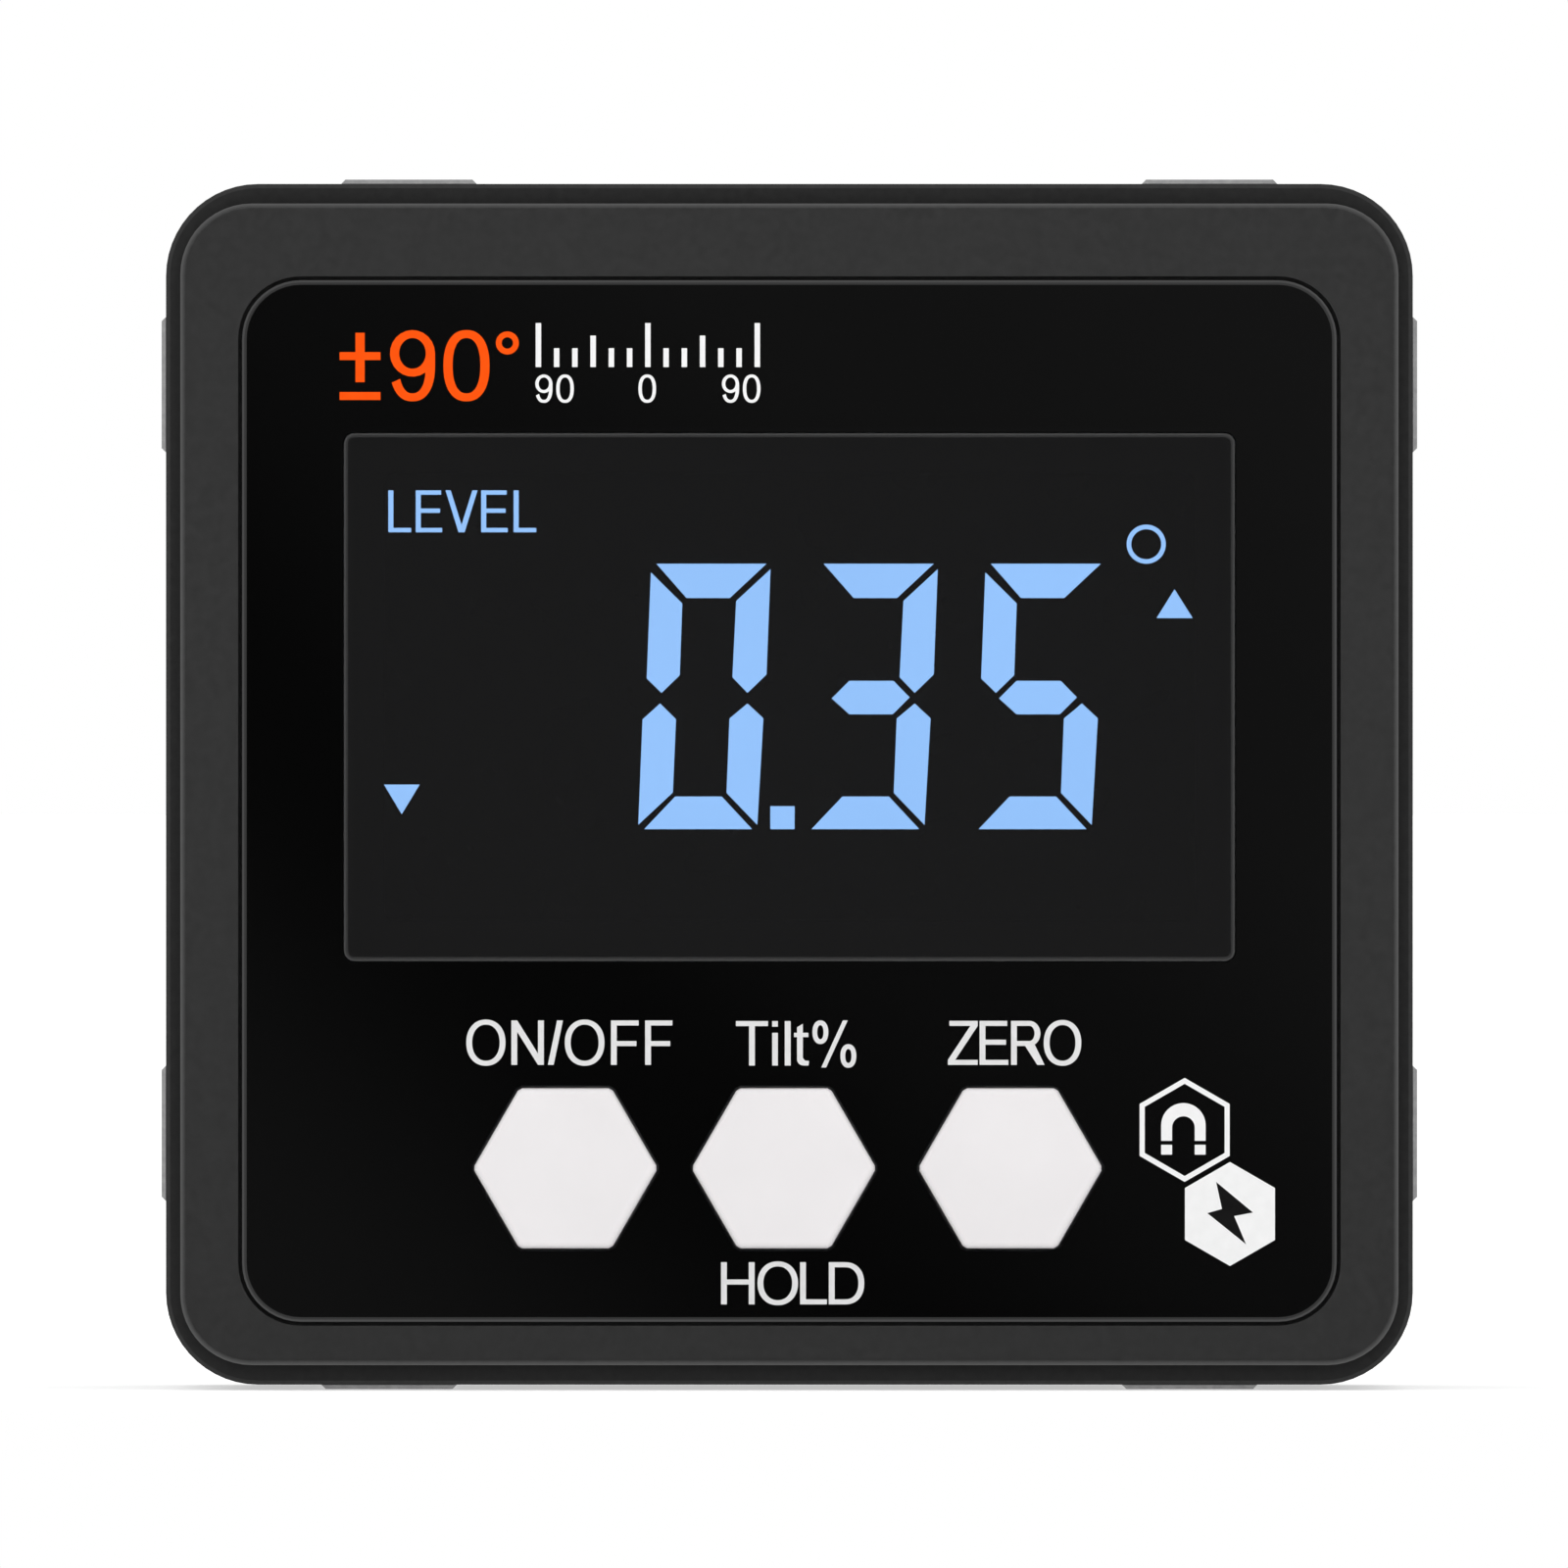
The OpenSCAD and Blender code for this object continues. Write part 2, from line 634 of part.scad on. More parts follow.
module magnet(site) {
    color(magnet_colour) on_side(site[0], site[1]) translate([0, 0, magnet_proud - magnet_t])
        slab(box_corners(magnet_l, magnet_w, magnet_slope, magnet_mid, site[2]),
             magnet_slope, magnet_t, magnet_slope, steps = 1);
}

// Recess for the flap and its anchor, port opening, peg hole and fingernail notch.
module port_cuts() {
    r = flap_r + flap_room;
    recess_low = flap_low - flap_room;
    recess_top = anchor_low + anchor_l + flap_room;
    translate([0, 0, -flap_floor])
        slab(box_corners(flap_w + 2 * flap_room, recess_top - recess_low, r,
                         0, (recess_low + recess_top) / 2),
             r, flap_floor + bite);
    translate([0, 0, -case_wall - bite])
        slab(slot_corners(usb_w + 2 * port_room, usb_h / 2 + port_room), usb_h / 2 + port_room, case_wall);
    translate([0, anchor_low + anchor_l / 2, -case_wall - bite])
        cylinder(d = peg_d + 2 * peg_room, h = case_wall);
    translate([-neck_w / 2, recess_low, notch_r - flap_sink - flap_t])
        rotate([0, 90, 0]) cylinder(r = notch_r, h = neck_w);
}

module main_case() {
    color(case_colour) difference() {
        union() {
            difference() {
                round_box(case_w, case_h, case_r, flange_t, case_d, top = rim_slope, bottom = rear_round,
                          steps = 1);
                round_box(inner_w, inner_h, inner_r, flange_t - bite, ledge_front);
                round_box(open_w, open_h, open_r, ledge_front - bite, seat_d + bite);
                round_box(seat_w, seat_h, seat_r, seat_d, case_d + bite);
            }
            for (site = magnet_sites)
                magnet_block(site, pocket_wall, -case_wall - pocket_in(), -case_wall / 2);
        }
        for (site = magnet_sites) magnet_block(site, magnet_room, magnet_proud - magnet_t, bite);
        at_port() port_cuts();
    }
}

module faceplate() {
    color(plate_colour) difference() {
        round_box(plate_w, plate_h, plate_r, -plate_proud, plate_t - plate_proud, recess_y,
                  top = plate_edge, turn = plate_turn);
        round_box(lens_w + 2 * lens_room, lens_h + 2 * lens_room, lens_r + lens_room,
                  -2 * bite, recess_d, lens_y);
        for (x = key_x) hex_block(hole_flats, key_r + key_room, x, -2 * bite, recess_d);
    }
}

module faceplate_tape() {
    keep = tape_inset + lens_room;
    color("white") difference() {
        round_box(plate_w - 2 * tape_inset, plate_h - 2 * tape_inset, plate_r - tape_inset,
                  recess_d - tape_t, recess_d, recess_y);
        round_box(lens_w + 2 * keep, lens_h + 2 * keep, lens_r + keep, 0, recess_d + bite, lens_y);
        for (x = key_x) hex_block(hole_flats + tape_inset, key_r + key_room, x, 0, recess_d + bite);
    }
}

module display_lens() {
    color(lens_colour)
        round_box(lens_w, lens_h, lens_r, -lens_proud, recess_d, lens_y, top = lens_edge, turn = lens_turn);
}

module lcd_glass() {
    r = lens_r;
    color([0.35, 0.4, 0.42]) {
        round_box(lcd_w, lcd_h, r, lcd_front, lcd_front + lcd_plate_t, lens_y);
        round_box(lcd_w, lcd_h - lcd_contact_h, r, lcd_front + lcd_plate_t, lcd_back,
                  lens_y + lcd_contact_h / 2);
    }
}

module lcd_frame() {
    color("white") difference() {
        round_box(frame_w, frame_h, lens_r + lcd_frame_wall, lcd_front, board_at, lens_y);
        round_box(lcd_w + 2 * lcd_room, lcd_h + 2 * lcd_room, lens_r + lcd_room,
                  lcd_front - bite, board_at + bite, lens_y);
    }
}

module backlight() {
    h = lcd_h - lcd_contact_h - 2 * lcd_room;
    w = lcd_w - 2 * lcd_room;
    y = lcd_top - lcd_room - h / 2;
    color([0.9, 0.92, 0.95]) {
        round_box(w, h, lens_r, lcd_back, lcd_back + backlight_t, y);
        for (u = [-1, 1], v = [-1, 1])
            rod(light_peg_d, u * (w / 2 - light_peg_in), y + v * (h / 2 - light_peg_in),
                lcd_back + backlight_t - bite, board_at);
    }
}

module lcd_connector() {
    color([0.75, 0.55, 0.6])
        round_box(lcd_w - 4 * lcd_margin, strip_t, strip_t / 4, lcd_front + lcd_plate_t, board_at,
                  lcd_low + lcd_contact_h / 2);
}

module key(x) {
    color(key_colour) {
        difference() {
            union() {
                hex_block(key_flats, key_r, x, -key_proud, lip_back, top = key_round);
                hex_block(key_flats + 2 * key_lip, key_r + key_lip, x, lip_front, lip_back);
            }
            hex_block(key_flats - 2 * key_wall, key_r, x, cap_inside, lip_back + bite);
        }
        rod(plunger_d, x, key_y, cap_inside - bite, lip_back);
    }
}

module key_seal() {
    color([0.5, 0.5, 0.52]) difference() {
        round_box(mat_w, mat_h, mat_margin, web_back, web_back + mat_t, key_y, mat_x);
        for (x = key_x)
            hex_block(key_flats + 2 * mat_room, key_r + mat_room, x,
                      web_back - bite, web_back + mat_t + bite);
    }
}

module tact_switch(x) {
    color([0.12, 0.12, 0.13]) {
        difference() {
            round_box(switch_w, switch_w, switch_w / 10, switch_front, board_at, key_y, x);
            rod(plunger_d + 2 * plunger_room, x, key_y, switch_front - bite, bore_end);
        }
        for (side = [0, 1], v = [-1, 1])
            at_depth(board_at) translate([x + v * leg_pitch / 2, key_y, 0]) mirror([0, side, 0])
                translate([-leg_w / 2, switch_w / 2 - bite, 0]) cube([leg_w, leg_out + bite, leg_t]);
    }
}

module plunger(x) {
    color([0.2, 0.2, 0.2]) rod(plunger_d, x, key_y, lip_back, plunger_end);
}

module circuit_board() {
    notch_w = boss_d + 2 * board_boss_room + board_r;
    notch_x = boss_x - boss_d / 2 - board_boss_room + notch_w / 2;
    notch_z = boss_z - boss_d / 2 - board_boss_room + notch_w / 2;
    color([0.08, 0.3, 0.16]) difference() {
        round_box(board_w, board_h, board_r, board_at, board_back);
        for (c = corners4) at_depth(board_back + bite)
            translate([sign(c[0]) * notch_x, sign(c[1]) * notch_z, 0])
                translate([-notch_w / 2, -notch_w / 2, 0]) cube([notch_w, notch_w, board_t + 2 * bite]);
        for (c = posts) rod(post_hole_d + 2 * screw_room, c[0], c[1], board_at - bite, board_back + bite);
    }
}

module board_screws() {
    color([0.6, 0.6, 0.62]) for (c = posts) {
        difference() {
            rod(board_head_d, c[0], c[1], board_back, board_back + board_head_t);
            rod(board_shank_d / 2, c[0], c[1],
                board_back + board_head_t / 2, board_back + board_head_t + bite);
        }
        rod(board_shank_d, c[0], c[1], board_back - board_shank_l, board_back + bite);
    }
}

module chip(w, t, x, y) {
    color([0.1, 0.1, 0.11])
        round_box(w, w, w / 20, board_back, board_back + t, y, x, bottom = w / 40, steps = 1);
}

module usb_shell() {
    r = usb_h / 2;
    color([0.72, 0.73, 0.74]) at_port() translate([0, 0, mouth_x - case_w / 2 - usb_l]) difference() {
        slab(slot_corners(usb_w, r), r, usb_l);
        translate([0, 0, usb_wall])
            slab(slot_corners(usb_w - 2 * usb_wall, r - usb_wall), r - usb_wall, usb_l);
    }
}

module usb_tongue() {
    r = usb_h / 2 - usb_wall;
    color([0.07, 0.07, 0.08]) at_port() translate([0, 0, mouth_x - case_w / 2 - usb_l + usb_wall]) {
        slab(slot_corners(usb_w - 2 * usb_wall, r), r, usb_l / 4);
        translate([-tongue_t / 2, -tongue_w / 2, usb_l / 4 - bite])
            cube([tongue_t, tongue_w, usb_l - usb_wall - tongue_back - usb_l / 4 + bite]);
    }
}

module port_flap() {
    r = flap_r;
    plate_top = hinge_y - neck_l;
    lip_r = usb_h / 2 + port_room - flap_room;
    lip_len = usb_w + 2 * port_room - 3 * flap_room;
    color(case_colour) at_port() {
        translate([0, 0, -flap_sink - flap_t])
            slab(box_corners(flap_w, plate_top - flap_low, r, 0, (plate_top + flap_low) / 2), r, flap_t);
        translate([-neck_w / 2, plate_top - bite, -flap_sink - neck_t])
            cube([neck_w, neck_l + bite, neck_t]);
        translate([-neck_w / 2, hinge_y, -hinge_in]) rotate([0, 90, 0])
            cylinder(d = neck_t, h = neck_w);
        translate([0, 0, -flap_sink - flap_t - lip_l]) difference() {
            slab(slot_corners(lip_len, lip_r), lip_r, lip_l + bite);
            translate([0, 0, -bite])
                slab(slot_corners(lip_len - 2 * lip_wall, lip_r - lip_wall), lip_r - lip_wall, lip_l + bite);
        }
    }
}

module flap_anchor() {
    r = flap_r;
    color(case_colour) at_port() {
        translate([0, 0, -flap_sink - flap_t])
            slab(box_corners(flap_w, anchor_l, r, 0, anchor_low + anchor_l / 2), r, flap_t);
        translate([0, anchor_low + anchor_l / 2, -case_wall - peg_room])
            cylinder(d = peg_d, h = case_wall - flap_sink - flap_t + peg_room + bite);
        translate([0, anchor_low + anchor_l / 2, -case_wall - peg_room - peg_head_l])
            cylinder(d1 = peg_d, d2 = peg_d + 2 * peg_head, h = peg_head_l);
    }
}

module battery() {
    color([0.75, 0.76, 0.78])
        round_box(cell_w, cell_h, cell_round, cell_front, cell_back,
                  top = cell_round, bottom = cell_round / 2);
}

module battery_pad() {
    color([0.2, 0.2, 0.2])
        round_box(cell_w - 2 * pad_inset, cell_h - 2 * pad_inset, cell_round, cell_back, cover_front);
}

module battery_leads() {
    color("red") for (x = [-lead_pitch / 2, lead_pitch / 2]) at_depth(lead_at) translate([x, 0, 0]) {
        translate([0, cell_h / 2, 0]) rotate([-90, 0, 0])
            cylinder(d = lead_d, h = lead_y - lead_bend - cell_h / 2);
        translate([0, lead_y - lead_bend, lead_bend]) rotate([90, 0, 90]) rotate([0, 0, -90])
            rotate_extrude(angle = 90) translate([lead_bend, 0]) circle(d = lead_d);
        translate([0, lead_y, lead_bend])
            cylinder(d = lead_d, h = lead_at - lead_bend - board_back - socket_h);
    }
}

module battery_socket() {
    color([0.92, 0.9, 0.85])
        round_box(socket_w, socket_t, socket_t / 10, board_back, board_back + socket_h, lead_y);
}

module cover_seal() {
    w = seat_w - 2 * cover_room;
    h = seat_h - 2 * cover_room;
    color([0.1, 0.1, 0.1]) difference() {
        round_box(w, h, seat_r - cover_room, seat_d, cover_front);
        round_box(w - 2 * seal_w, h - 2 * seal_w, seat_r - cover_room - seal_w,
                  seat_d - bite, cover_front + bite);
    }
}

module back_cover() {
    w = seat_w - 2 * cover_room;
    h = seat_h - 2 * cover_room;
    side = cell_w / 2 + rib_room;
    end = cell_h / 2 + rib_room;
    color(case_colour) {
        difference() {
            round_box(w, h, seat_r - cover_room, cover_front, case_d, bottom = cover_round);
            for (c = corners4) {
                rod(shank_d + 2 * screw_room, c[0], c[1], cover_front - bite, case_d + bite);
                rod(head_d + 2 * screw_room, c[0], c[1], case_d - head_sink - head_t, case_d + bite);
            }
        }
        for (s = [-1, 1]) {
            at_depth(cover_front + bite) translate([s * (side + rib_t / 2) - rib_t / 2, -rib_l / 2, 0])
                cube([rib_t, rib_l, rib_h + bite]);
            for (u = [-1, 1])
                at_depth(cover_front + bite)
                    translate([u * cell_w / 4 - rib_l / 4, s * (end + rib_t / 2) - rib_t / 2, 0])
                        cube([rib_l / 2, rib_t, rib_h + bite]);
        }
    }
}

module cover_screws() {
    head_back = case_d - head_sink;
    color([0.35, 0.35, 0.36]) for (c = corners4) {
        difference() {
            rod(head_d, c[0], c[1], head_back - head_t, head_back);
            at_depth(head_back) translate([c[0], c[1], 0]) for (turn = [0, 90])
                rotate([0, 0, turn]) translate([-cross_l / 2, -cross_w / 2, -bite])
                    cube([cross_l, cross_w, cross_d + bite]);
        }
        rod(shank_d, c[0], c[1], head_back - head_t - shank_l, head_back - head_t + bite);
    }
}

front_bezel();
main_case();
faceplate();
faceplate_tape();
display_lens();
lcd_glass();
lcd_frame();
backlight();
lcd_connector();
key(key_x[0]);  // key_power
key(key_x[1]);  // key_tilt
key(key_x[2]);  // key_zero
key_seal();
tact_switch(key_x[0]);  // switch_power
tact_switch(key_x[1]);  // switch_tilt
tact_switch(key_x[2]);  // switch_zero
plunger(key_x[0]);  // plunger_power
plunger(key_x[1]);  // plunger_tilt
plunger(key_x[2]);  // plunger_zero
circuit_board();
board_screws();
chip(mcu_w, mcu_t, mcu_x, mcu_y);  // microcontroller
chip(sensor_w, sensor_t, sensor_x, sensor_y);  // tilt_sensor
chip(charger_w, charger_t, charger_x, charger_y);  // charger_chip
usb_shell();
usb_tongue();
port_flap();
flap_anchor();
battery();
battery_leads();
battery_socket();
battery_pad();
cover_seal();
back_cover();
cover_screws();
magnet(magnet_sites[0]);  // magnet_top_left
magnet(magnet_sites[1]);  // magnet_top_right
magnet(magnet_sites[2]);  // magnet_bottom_left
magnet(magnet_sites[3]);  // magnet_bottom_right
magnet(magnet_sites[4]);  // magnet_left_upper
magnet(magnet_sites[5]);  // magnet_left_lower
magnet(magnet_sites[6]);  // magnet_right_upper
magnet(magnet_sites[7]);  // magnet_right_lower
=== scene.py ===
import math

import bmesh
import bpy
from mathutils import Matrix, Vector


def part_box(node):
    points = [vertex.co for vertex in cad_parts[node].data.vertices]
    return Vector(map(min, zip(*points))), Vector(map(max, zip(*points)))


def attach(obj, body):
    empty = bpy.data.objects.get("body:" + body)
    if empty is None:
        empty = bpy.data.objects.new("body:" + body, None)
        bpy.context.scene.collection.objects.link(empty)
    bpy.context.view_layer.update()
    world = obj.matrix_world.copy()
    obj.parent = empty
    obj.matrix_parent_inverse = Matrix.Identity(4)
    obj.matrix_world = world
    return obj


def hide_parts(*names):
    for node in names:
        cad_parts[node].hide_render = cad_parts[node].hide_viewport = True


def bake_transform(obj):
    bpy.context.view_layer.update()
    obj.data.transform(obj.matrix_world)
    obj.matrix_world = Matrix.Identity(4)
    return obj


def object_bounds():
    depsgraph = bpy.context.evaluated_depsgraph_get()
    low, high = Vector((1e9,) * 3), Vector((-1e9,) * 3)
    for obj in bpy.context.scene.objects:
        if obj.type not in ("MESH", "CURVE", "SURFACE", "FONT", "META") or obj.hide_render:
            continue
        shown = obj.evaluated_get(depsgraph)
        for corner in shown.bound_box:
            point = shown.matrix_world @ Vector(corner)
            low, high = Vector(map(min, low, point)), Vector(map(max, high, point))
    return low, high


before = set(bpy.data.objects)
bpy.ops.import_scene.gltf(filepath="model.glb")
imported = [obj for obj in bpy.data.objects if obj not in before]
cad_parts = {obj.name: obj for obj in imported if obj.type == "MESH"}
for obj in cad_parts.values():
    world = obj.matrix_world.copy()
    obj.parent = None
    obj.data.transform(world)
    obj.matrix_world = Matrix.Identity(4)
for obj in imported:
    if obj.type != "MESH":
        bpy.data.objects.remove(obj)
cad_low, cad_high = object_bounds()

# Main case: the four measuring sides in one piece, injection moulded from near-black ABS.
# Its outside keeps the fine spark-eroded grain of the mould; every other piece fixes into it.
mm = 0.001


def colour(red, green, blue):
    """A colour written as it should look on the screen, 0 to 255, turned into the shader's numbers."""
    def straight(value):
        value /= 255
        return value / 12.92 if value <= 0.04045 else ((value + 0.055) / 1.055) ** 2.4
    return straight(red), straight(green), straight(blue), 1.0


def start_finish(name, **sockets):
    """A new finish; the named sockets of its shader get values that are the same all over."""
    finish = bpy.data.materials.new(name)
    finish.use_nodes = True
    inputs = finish.node_tree.nodes["Principled BSDF"].inputs
    for socket, value in sockets.items():
        inputs[socket.replace("_", " ")].default_value = value
    return finish


def lay(finish, kind, size, stretch=(1, 1, 1), turn=(0, 0, 0)):
    """A pattern node on the piece's own coordinates; size in millimetres is the width of one repeat."""
    nodes, links = finish.node_tree.nodes, finish.node_tree.links
    place = nodes.get("place")
    if place is None:
        place = nodes.new("ShaderNodeTexCoord")
        place.name = "place"
    mapping = nodes.new("ShaderNodeMapping")
    mapping.inputs["Scale"].default_value = [share / (size * mm) for share in stretch]
    mapping.inputs["Rotation"].default_value = [math.radians(angle) for angle in turn]
    links.new(place.outputs["Object"], mapping.inputs["Vector"])
    pattern = nodes.new(kind)
    links.new(mapping.outputs["Vector"], pattern.inputs["Vector"])
    return pattern


def clouds(finish, size, detail=3.0, stretch=(1, 1, 1)):
    """Soft random patches, about size millimetres across."""
    pattern = lay(finish, "ShaderNodeTexNoise", size, stretch)
    pattern.inputs["Scale"].default_value = 1.0
    pattern.inputs["Detail"].default_value = detail
    return pattern.outputs["Fac"]


def spread(finish, pattern, socket, low, high, start=0.3, end=0.7):
    """Runs a shader socket between two numbers or two colours along a pattern."""
    nodes, links = finish.node_tree.nodes, finish.node_tree.links
    target = nodes["Principled BSDF"].inputs[socket]
    if isinstance(low, tuple):
        ramp = nodes.new("ShaderNodeValToRGB")
        for stop, place, value in zip(ramp.color_ramp.elements, (start, end), (low, high)):
            stop.position, stop.color = place, value
        links.new(pattern, ramp.inputs["Fac"])
        links.new(ramp.outputs["Color"], target)
    else:
        reach = nodes.new("ShaderNodeMapRange")
        for name, value in zip(("From Min", "From Max", "To Min", "To Max"), (start, end, low, high)):
            reach.inputs[name].default_value = value
        links.new(pattern, reach.inputs["Value"])
        links.new(reach.outputs["Result"], target)


def uneven(name, dark, light, patch, rough, rough_patch, **sockets):
    """A finish whose colour and roughness drift between two values in soft patches, sized in millimetres."""
    finish = start_finish(name, **sockets)
    spread(finish, clouds(finish, patch), "Base Color", colour(*dark), colour(*light))
    spread(finish, clouds(finish, rough_patch), "Roughness", *rough)
    return finish


def raise_grain(finish, pattern, depth, strength=1.0):
    """Lifts the surface along a pattern, depth in millimetres; later calls add to earlier ones."""
    nodes, links = finish.node_tree.nodes, finish.node_tree.links
    normal = nodes["Principled BSDF"].inputs["Normal"]
    lift = nodes.new("ShaderNodeBump")
    lift.inputs["Distance"].default_value = depth * mm
    lift.inputs["Strength"].default_value = strength
    links.new(pattern, lift.inputs["Height"])
    if normal.is_linked:
        links.new(normal.links[0].from_socket, lift.inputs["Normal"])
    links.new(lift.outputs["Normal"], normal)


def dress(finish, *nodes):
    """Puts a finish on pieces whose shape comes from the frame."""
    for node in nodes:
        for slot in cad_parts[node].material_slots:
            slot.material = finish


case_plastic = uneven(
    "case_plastic", (36, 36, 36), (42, 42, 42), 0.4, (0.5, 0.62), 0.25, Specular_IOR_Level=0.3)
raise_grain(case_plastic, clouds(case_plastic, 0.16, 2), 0.005, 0.7)
raise_grain(case_plastic, clouds(case_plastic, 0.05, 2), 0.001, 0.6)
dress(case_plastic, "main_case")

# Bar magnets: two pressed and glued into each measuring side, sintered blocks ground flat
# along their length and plated with nickel, standing a hair proud of the plastic.
GRIND = (1, 0.02, 1)
GRIND_SHEEN = (1, 0.03, 1)
magnet_nickel = start_finish("magnet_nickel", Metallic=0.55)
spread(magnet_nickel, clouds(magnet_nickel, 0.3, 4, GRIND), "Base Color",
       colour(154, 154, 155), colour(172, 172, 172))
spread(magnet_nickel, clouds(magnet_nickel, 0.5, 3, GRIND_SHEEN), "Roughness", 0.34, 0.5)
raise_grain(magnet_nickel, clouds(magnet_nickel, 0.12, 2, GRIND), 0.002, 0.8)
dress(magnet_nickel, *[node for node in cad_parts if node.startswith("magnet_")])

# Battery: a lithium cell in a crimped foil pouch, held down by a strip of foam tape; its two
# insulated leads end in a small white socket on the board.
pouch_foil = uneven("pouch_foil", (186, 188, 192), (206, 207, 210), 6, (0.25, 0.42), 1.5, Metallic=0.85)
raise_grain(pouch_foil, clouds(pouch_foil, 2.2), 0.06, 0.5)
dress(pouch_foil, "battery")


def cells(finish, size):
    """Packed round cells, size millimetres apart."""
    pattern = lay(finish, "ShaderNodeTexVoronoi", size)
    pattern.inputs["Scale"].default_value = 1.0
    return pattern.outputs["Distance"]


FOAM_CELL = 0.35
foam = start_finish("foam", Roughness=0.9, Specular_IOR_Level=0.2)
spread(foam, cells(foam, FOAM_CELL), "Base Color", colour(38, 38, 39), colour(60, 60, 61), 0.1, 0.6)
raise_grain(foam, cells(foam, FOAM_CELL), 0.08)
dress(foam, "battery_pad")
lead_insulation = uneven(
    "lead_insulation", (178, 24, 20), (200, 34, 27), 4, (0.38, 0.5), 1, Specular_IOR_Level=0.4)
dress(lead_insulation, "battery_leads")
socket_plastic = uneven("socket_plastic", (226, 222, 208), (236, 232, 220), 3, (0.42, 0.54), 0.6)
dress(socket_plastic, "battery_socket")

# Circuit board: glass-epoxy laminate under a green mask, with buried copper runs that show as
# paler lines; it carries three moulded chips and is held by four zinc-plated screws.
WAVE_REPEAT = math.pi / 10


def stripes(finish, pitch, wander=0.0):
    """Even bands, pitch millimetres apart, across the piece's width; wander bends them."""
    pattern = lay(finish, "ShaderNodeTexWave", pitch)
    pattern.inputs["Scale"].default_value = WAVE_REPEAT
    pattern.inputs["Distortion"].default_value = wander
    return pattern.outputs["Fac"]


RUN_PITCH, RUN_WANDER = 1.1, 3.0
board_laminate = start_finish("board_laminate", Coat_Weight=0.3, Coat_Roughness=0.12)
spread(board_laminate, stripes(board_laminate, RUN_PITCH, RUN_WANDER), "Base Color",
       colour(14, 70, 36), colour(30, 104, 58), 0.72, 0.9)
spread(board_laminate, clouds(board_laminate, 2), "Roughness", 0.32, 0.45)
raise_grain(board_laminate, stripes(board_laminate, RUN_PITCH, RUN_WANDER), 0.02, 0.4)
dress(board_laminate, "circuit_board")
chip_epoxy = uneven("chip_epoxy", (24, 24, 26), (33, 33, 35), 1.2, (0.5, 0.66), 0.3)
raise_grain(chip_epoxy, clouds(chip_epoxy, 0.06), 0.002)
dress(chip_epoxy, "microcontroller", "tilt_sensor", "charger_chip")
screw_steel = uneven("screw_steel", (196, 197, 200), (214, 214, 216), 0.8, (0.26, 0.4), 0.3, Metallic=1.0)
dress(screw_steel, "board_screws")

# Key switches: small sealed tact switches soldered to the board, each with a moulded plunger
# that the key above it pushes.
switch_plastic = uneven("switch_plastic", (29, 29, 31), (37, 37, 39), 1.5, (0.42, 0.55), 0.4)
dress(switch_plastic, "switch_power", "switch_tilt", "switch_zero")
plunger_plastic = uneven("plunger_plastic", (46, 46, 47), (56, 56, 57), 1.5, (0.36, 0.48), 0.4)
dress(plunger_plastic, "plunger_power", "plunger_tilt", "plunger_zero")

# Charge socket: a drawn steel shell with a moulded tongue, and on both faces of the tongue a
# row of flat gold-plated contacts.
DRAWN, DRAWN_SHEEN = (0.1, 1, 1), (0.05, 1, 1)
shell_steel = start_finish("shell_steel", Metallic=1.0)
spread(shell_steel, clouds(shell_steel, 1.2, 3, DRAWN), "Base Color",
       colour(186, 188, 190), colour(208, 209, 211))
spread(shell_steel, clouds(shell_steel, 0.2, 2, DRAWN_SHEEN), "Roughness", 0.24, 0.4)
dress(shell_steel, "usb_shell")
insulator = uneven("insulator", (17, 17, 19), (24, 24, 26), 1.5, (0.4, 0.52), 0.3)
dress(insulator, "usb_tongue")


def node_box(node):
    """The lowest and highest corner of a piece of the frame, in millimetres."""
    return [[axis / mm for axis in corner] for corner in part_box(node)]


def add_block(name, low, high):
    """A cube primitive set between two corners in millimetres, its place in its mesh."""
    bpy.ops.object.select_all(action="DESELECT")
    bpy.ops.mesh.primitive_cube_add(
        size=1, location=[(a + b) / 2 * mm for a, b in zip(low, high)],
        scale=[(b - a) * mm for a, b in zip(low, high)])
    bpy.ops.object.transform_apply(location=True, rotation=True, scale=True)
    block = bpy.context.object
    block.name = block.data.name = name
    return block


def pick(piece, kind, test):
    """Enters edit mode and selects the edges or faces whose middle, in millimetres, passes a test."""
    bpy.context.view_layer.objects.active = piece
    if piece.mode != "EDIT":
        bpy.ops.object.mode_set(mode="EDIT")
    bpy.ops.mesh.select_mode(type=kind)
    bpy.ops.mesh.select_all(action="DESELECT")
    shape = bmesh.from_edit_mesh(piece.data)
    for item in shape.edges if kind == "EDGE" else shape.faces:
        middle = sum((corner.co for corner in item.verts), item.verts[0].co * 0) / len(item.verts)
        if test(item, middle / mm):
            item.select_set(True)
    shape.select_flush_mode()
    bmesh.update_edit_mesh(piece.data)


def use_modifier(piece, kind, **settings):
    """Adds a modifier with its settings and applies it."""
    modifier = piece.modifiers.new(kind.lower(), kind)
    for setting, value in settings.items():
        setattr(modifier, setting, value)
    bpy.context.view_layer.objects.active = piece
    bpy.ops.object.modifier_apply(modifier=modifier.name)


SMOOTH_BELOW = 35


def finish_piece(piece, finish, body="housing"):
    """Gives a finished piece its finish, its shading and, where one is named, its body."""
    piece.data.materials.clear()
    piece.data.materials.append(finish)
    bpy.ops.object.select_all(action="DESELECT")
    piece.select_set(True)
    bpy.context.view_layer.objects.active = piece
    bpy.ops.object.shade_smooth_by_angle(angle=math.radians(SMOOTH_BELOW))
    if body:
        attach(piece, body)


